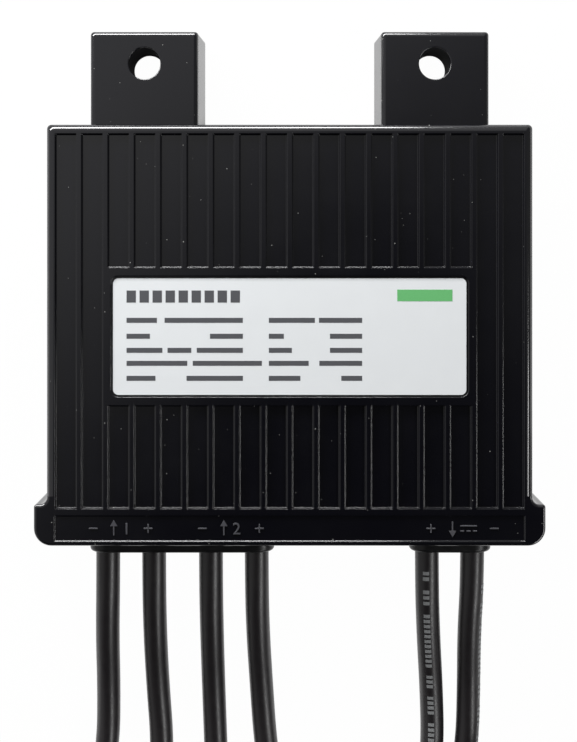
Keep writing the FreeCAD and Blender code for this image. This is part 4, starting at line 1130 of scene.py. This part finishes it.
@dataclass
class Studio:
    """The pale floor, the sky, the soft lamps and the camera over the part.

    The floor is floor_grey to light and floor_seen of full white to the eye. In reflections its white
    fades where less of the sky within corner_mm is open than corner_open says: painted shade under the
    part.
    """

    camera_mm: Point = (0.0, 17.3, 330.0)
    lens: float = 54.19
    sensor_w: float = 36.0
    shift: Span = (-0.0016, -0.1334)
    near_m: float = 0.01
    floor_m: float = 12.0
    floor_z_mm: float = -0.1
    floor_grey: float = 0.86
    floor_seen: float = 0.985
    corner_mm: float = 12.0
    corner_open: Span = (0.25, 0.4)
    sky_base: float = 0.022
    sky_glows: tuple[SkyGlow, ...] = (
        SkyGlow((-0.75, 0.67, 0.0), (-0.08, 0.28), 0.41),
        SkyGlow((0.6, 0.5, 0.0), (0.0, 0.25), 0.14),
    )
    lamps: tuple[Softbox, ...] = (
        Softbox("key_strip", (-0.175, 0.353, 0.14), (0.57, 0.10), 4.3),
        Softbox("right_strip", (0.66, -0.42, 0.62), (0.80, 0.16), 3.3),
    )

    def build(self) -> None:
        """Sets up the camera, the floor and the light."""
        self._camera()
        self._floor()
        self._world()
        for lamp in self.lamps:
            lamp.build()

    def _camera(self) -> None:
        """Adds a camera straight above, looking down, framed as the photograph is."""
        data = bpy.data.cameras.new("camera")
        data.lens = self.lens
        data.sensor_width = self.sensor_w
        data.shift_x, data.shift_y = self.shift
        data.clip_start = self.near_m
        data.dof.use_dof = False
        camera = bpy.data.objects.new("camera", data)
        camera.location = [c * MM for c in self.camera_mm]
        bpy.context.scene.collection.objects.link(camera)
        bpy.context.scene.camera = camera

    def _floor(self) -> None:
        """Adds a wide white floor that keeps a soft shadow.

        The camera and the plastic's gloss see it as plain white, but for the corners under the part, where
        the gloss sees painted shade.
        """
        Bench.clear()
        bpy.ops.mesh.primitive_plane_add(size=self.floor_m, location=(0, 0, self.floor_z_mm * MM))
        floor = bpy.context.object
        floor.name = "floor"
        made = bpy.data.materials.new("white_paper")
        made.use_nodes = True
        tree = made.node_tree
        tree.nodes.clear()
        paper = add_node(tree, "ShaderNodeBsdfDiffuse", None, {"Color": (*(self.floor_grey,) * 3, 1.0)})
        glow = add_node(tree, "ShaderNodeEmission", None, {"Color": WHITE, "Strength": 1.0})
        path = add_node(tree, "ShaderNodeLightPath").outputs
        # Painted shade: ambient occlusion dims the floor's unlit white glow in reflections under and beside
        # the part
        open_sky = add_node(tree, "ShaderNodeAmbientOcclusion", {"samples": 16},
                            {"Distance": self.corner_mm * MM})
        painted_shade_fade = ramp(tree, open_sky.outputs["AO"], self.corner_open)
        mirrored = maths(tree, "MULTIPLY", path["Is Glossy Ray"], painted_shade_fade)
        unlit = maths(tree, "ADD", mirrored, path["Is Transmission Ray"])
        seen = maths(tree, "MULTIPLY_ADD", path["Is Camera Ray"], self.floor_seen, unlit)
        mixed = add_node(tree, "ShaderNodeMixShader", None,
                         {0: seen, 1: paper.outputs["BSDF"], 2: glow.outputs["Emission"]})
        add_node(tree, "ShaderNodeOutputMaterial", None, {"Surface": mixed.outputs["Shader"]})
        floor.data.materials.append(made)

    def _world(self) -> None:
        """Adds a sky that is brighter on two sides, and that the camera sees as white."""
        world = bpy.data.worlds.new("studio")
        bpy.context.scene.world = world
        world.use_nodes = True
        tree = world.node_tree
        tree.nodes.clear()
        heading = add_node(tree, "ShaderNodeTexCoord").outputs["Generated"]
        total = self.sky_base
        for glow in self.sky_glows:
            towards = add_node(tree, "ShaderNodeVectorMath", {"operation": "DOT_PRODUCT"},
                               {0: heading, 1: glow.side})
            amount = ramp(tree, towards.outputs["Value"], glow.nearness, (0.0, glow.strength), "SMOOTHSTEP")
            total = maths(tree, "ADD", total, amount)
        path = add_node(tree, "ShaderNodeLightPath").outputs
        seen = maths(tree, "MAXIMUM", path["Is Camera Ray"], path["Is Transmission Ray"])
        sky = add_node(tree, "ShaderNodeBackground", None,
                       {"Color": WHITE, "Strength": maths(tree, "MAXIMUM", seen, total)})
        add_node(tree, "ShaderNodeOutputWorld", None, {"Surface": sky.outputs["Background"]})


# Putting it together


class Finishes:
    """Every material, made once."""

    def __init__(self) -> None:
        """Builds the materials."""
        self.housing = HOUSING_ABS.material()
        self.marks = MARK_ABS_PAINTED_SHEEN.material()
        self.connector = CONNECTOR_POLYAMIDE.material()
        self.jacket = LEAD_JACKET.material()
        self.film = LABEL_FILM.material()
        self.inks = {kind: ink.material() for kind, ink in INKS.items()}
        self.rubber = SEAL_RUBBER.material()
        self.aluminium = PLATE_ALUMINIUM.material()
        self.steel = ZINC_STEEL.material()
        self.potting = POTTING_RESIN.material()
        self.board = BOARD_LAMINATE.material()
        self.ferrite = FERRITE.material()
        self.copper = COPPER.material()
        self.capacitor = CAPACITOR_CASE.material()
        self.ceramic = CERAMIC.material()
        self.chip = CHIP_EPOXY.material()
        self.pad = THERMAL_SILICONE.material()
        self.tin = TIN_PLATE.material()
        self.nylon = TIE_NYLON.material()


class Optimizer:
    """The whole part: box, back, electronics, leads and connectors."""

    def __init__(self, finishes: Finishes) -> None:
        """Keeps the finishes for the build.

        Args:
            finishes: Every material.
        """
        self.finishes = finishes

    def build(self) -> None:
        """Builds and dresses every sub-assembly."""
        self._box()
        self._back()
        self._electronics()
        self._leads()

    def _box(self) -> None:
        """The housing with its marks, its label and its lead seals."""
        f = self.finishes
        dress("front_housing", f.housing)
        PanelMarks().build(f.marks)
        Label().build(f.inks, f.film)
        for node in ("input_lead_seal", "output_lead_seal"):
            dress(node, f.rubber)

    def _back(self) -> None:
        """The back plate, its seal and its screws."""
        f = self.finishes
        dress("back_plate", f.aluminium)
        dress("back_plate_gasket", f.rubber)
        dress("back_plate_screws", f.steel)

    def _electronics(self) -> None:
        """Everything sealed inside the box."""
        f = self.finishes
        for number in (1, 2):
            dress(f"inductor{number}_lower_core", f.ferrite)
            dress(f"inductor{number}_upper_core", f.ferrite)
            dress(f"inductor{number}_winding", f.copper)
            dress(f"thermal_pad{number}", f.pad)
        plain = {
            "potting_compound": f.potting,
            "circuit_board": f.board,
            "board_screws": f.steel,
            "power_transistors": f.chip,
            "film_capacitors": f.capacitor,
            "ceramic_capacitors": f.ceramic,
            "current_shunts": f.chip,
            "gate_driver_chips": f.chip,
            "control_chip": f.chip,
            "bypass_diodes": f.chip,
            "signal_transformer": f.ferrite,
            "supply_inductor": f.ferrite,
            "lead_terminals": f.tin,
            "lead_conductors": f.copper,
        }
        for node, material in plain.items():
            dress(node, material)

    def _leads(self) -> None:
        """The six leads with their connectors, the ties and the print on the output leads."""
        f = self.finishes
        cords = {}
        for lead in LEADS:
            dress(lead.name + "_connector_shell", f.connector)
            dress(lead.name + "_connector_nut", f.connector)
            cords[lead.name] = lead.build(f.jacket)
        dress("coil_ties", f.nylon)
        dress("connector_cable_seals", f.rubber)
        dress("connector_contact_pins", f.tin)
        dress("connector_contact_sockets", f.tin)
        for lead_print in LEAD_PRINTS:
            lead_print.build(cords[lead_print.lead], f.inks[InkKind.PALE])


def main() -> None:
    """Builds the part and its studio."""
    logging.basicConfig(level=logging.INFO)
    bpy.context.scene.view_settings.view_transform = "Standard"
    Optimizer(Finishes()).build()
    Studio().build()


if __name__ == "__main__":
    main()
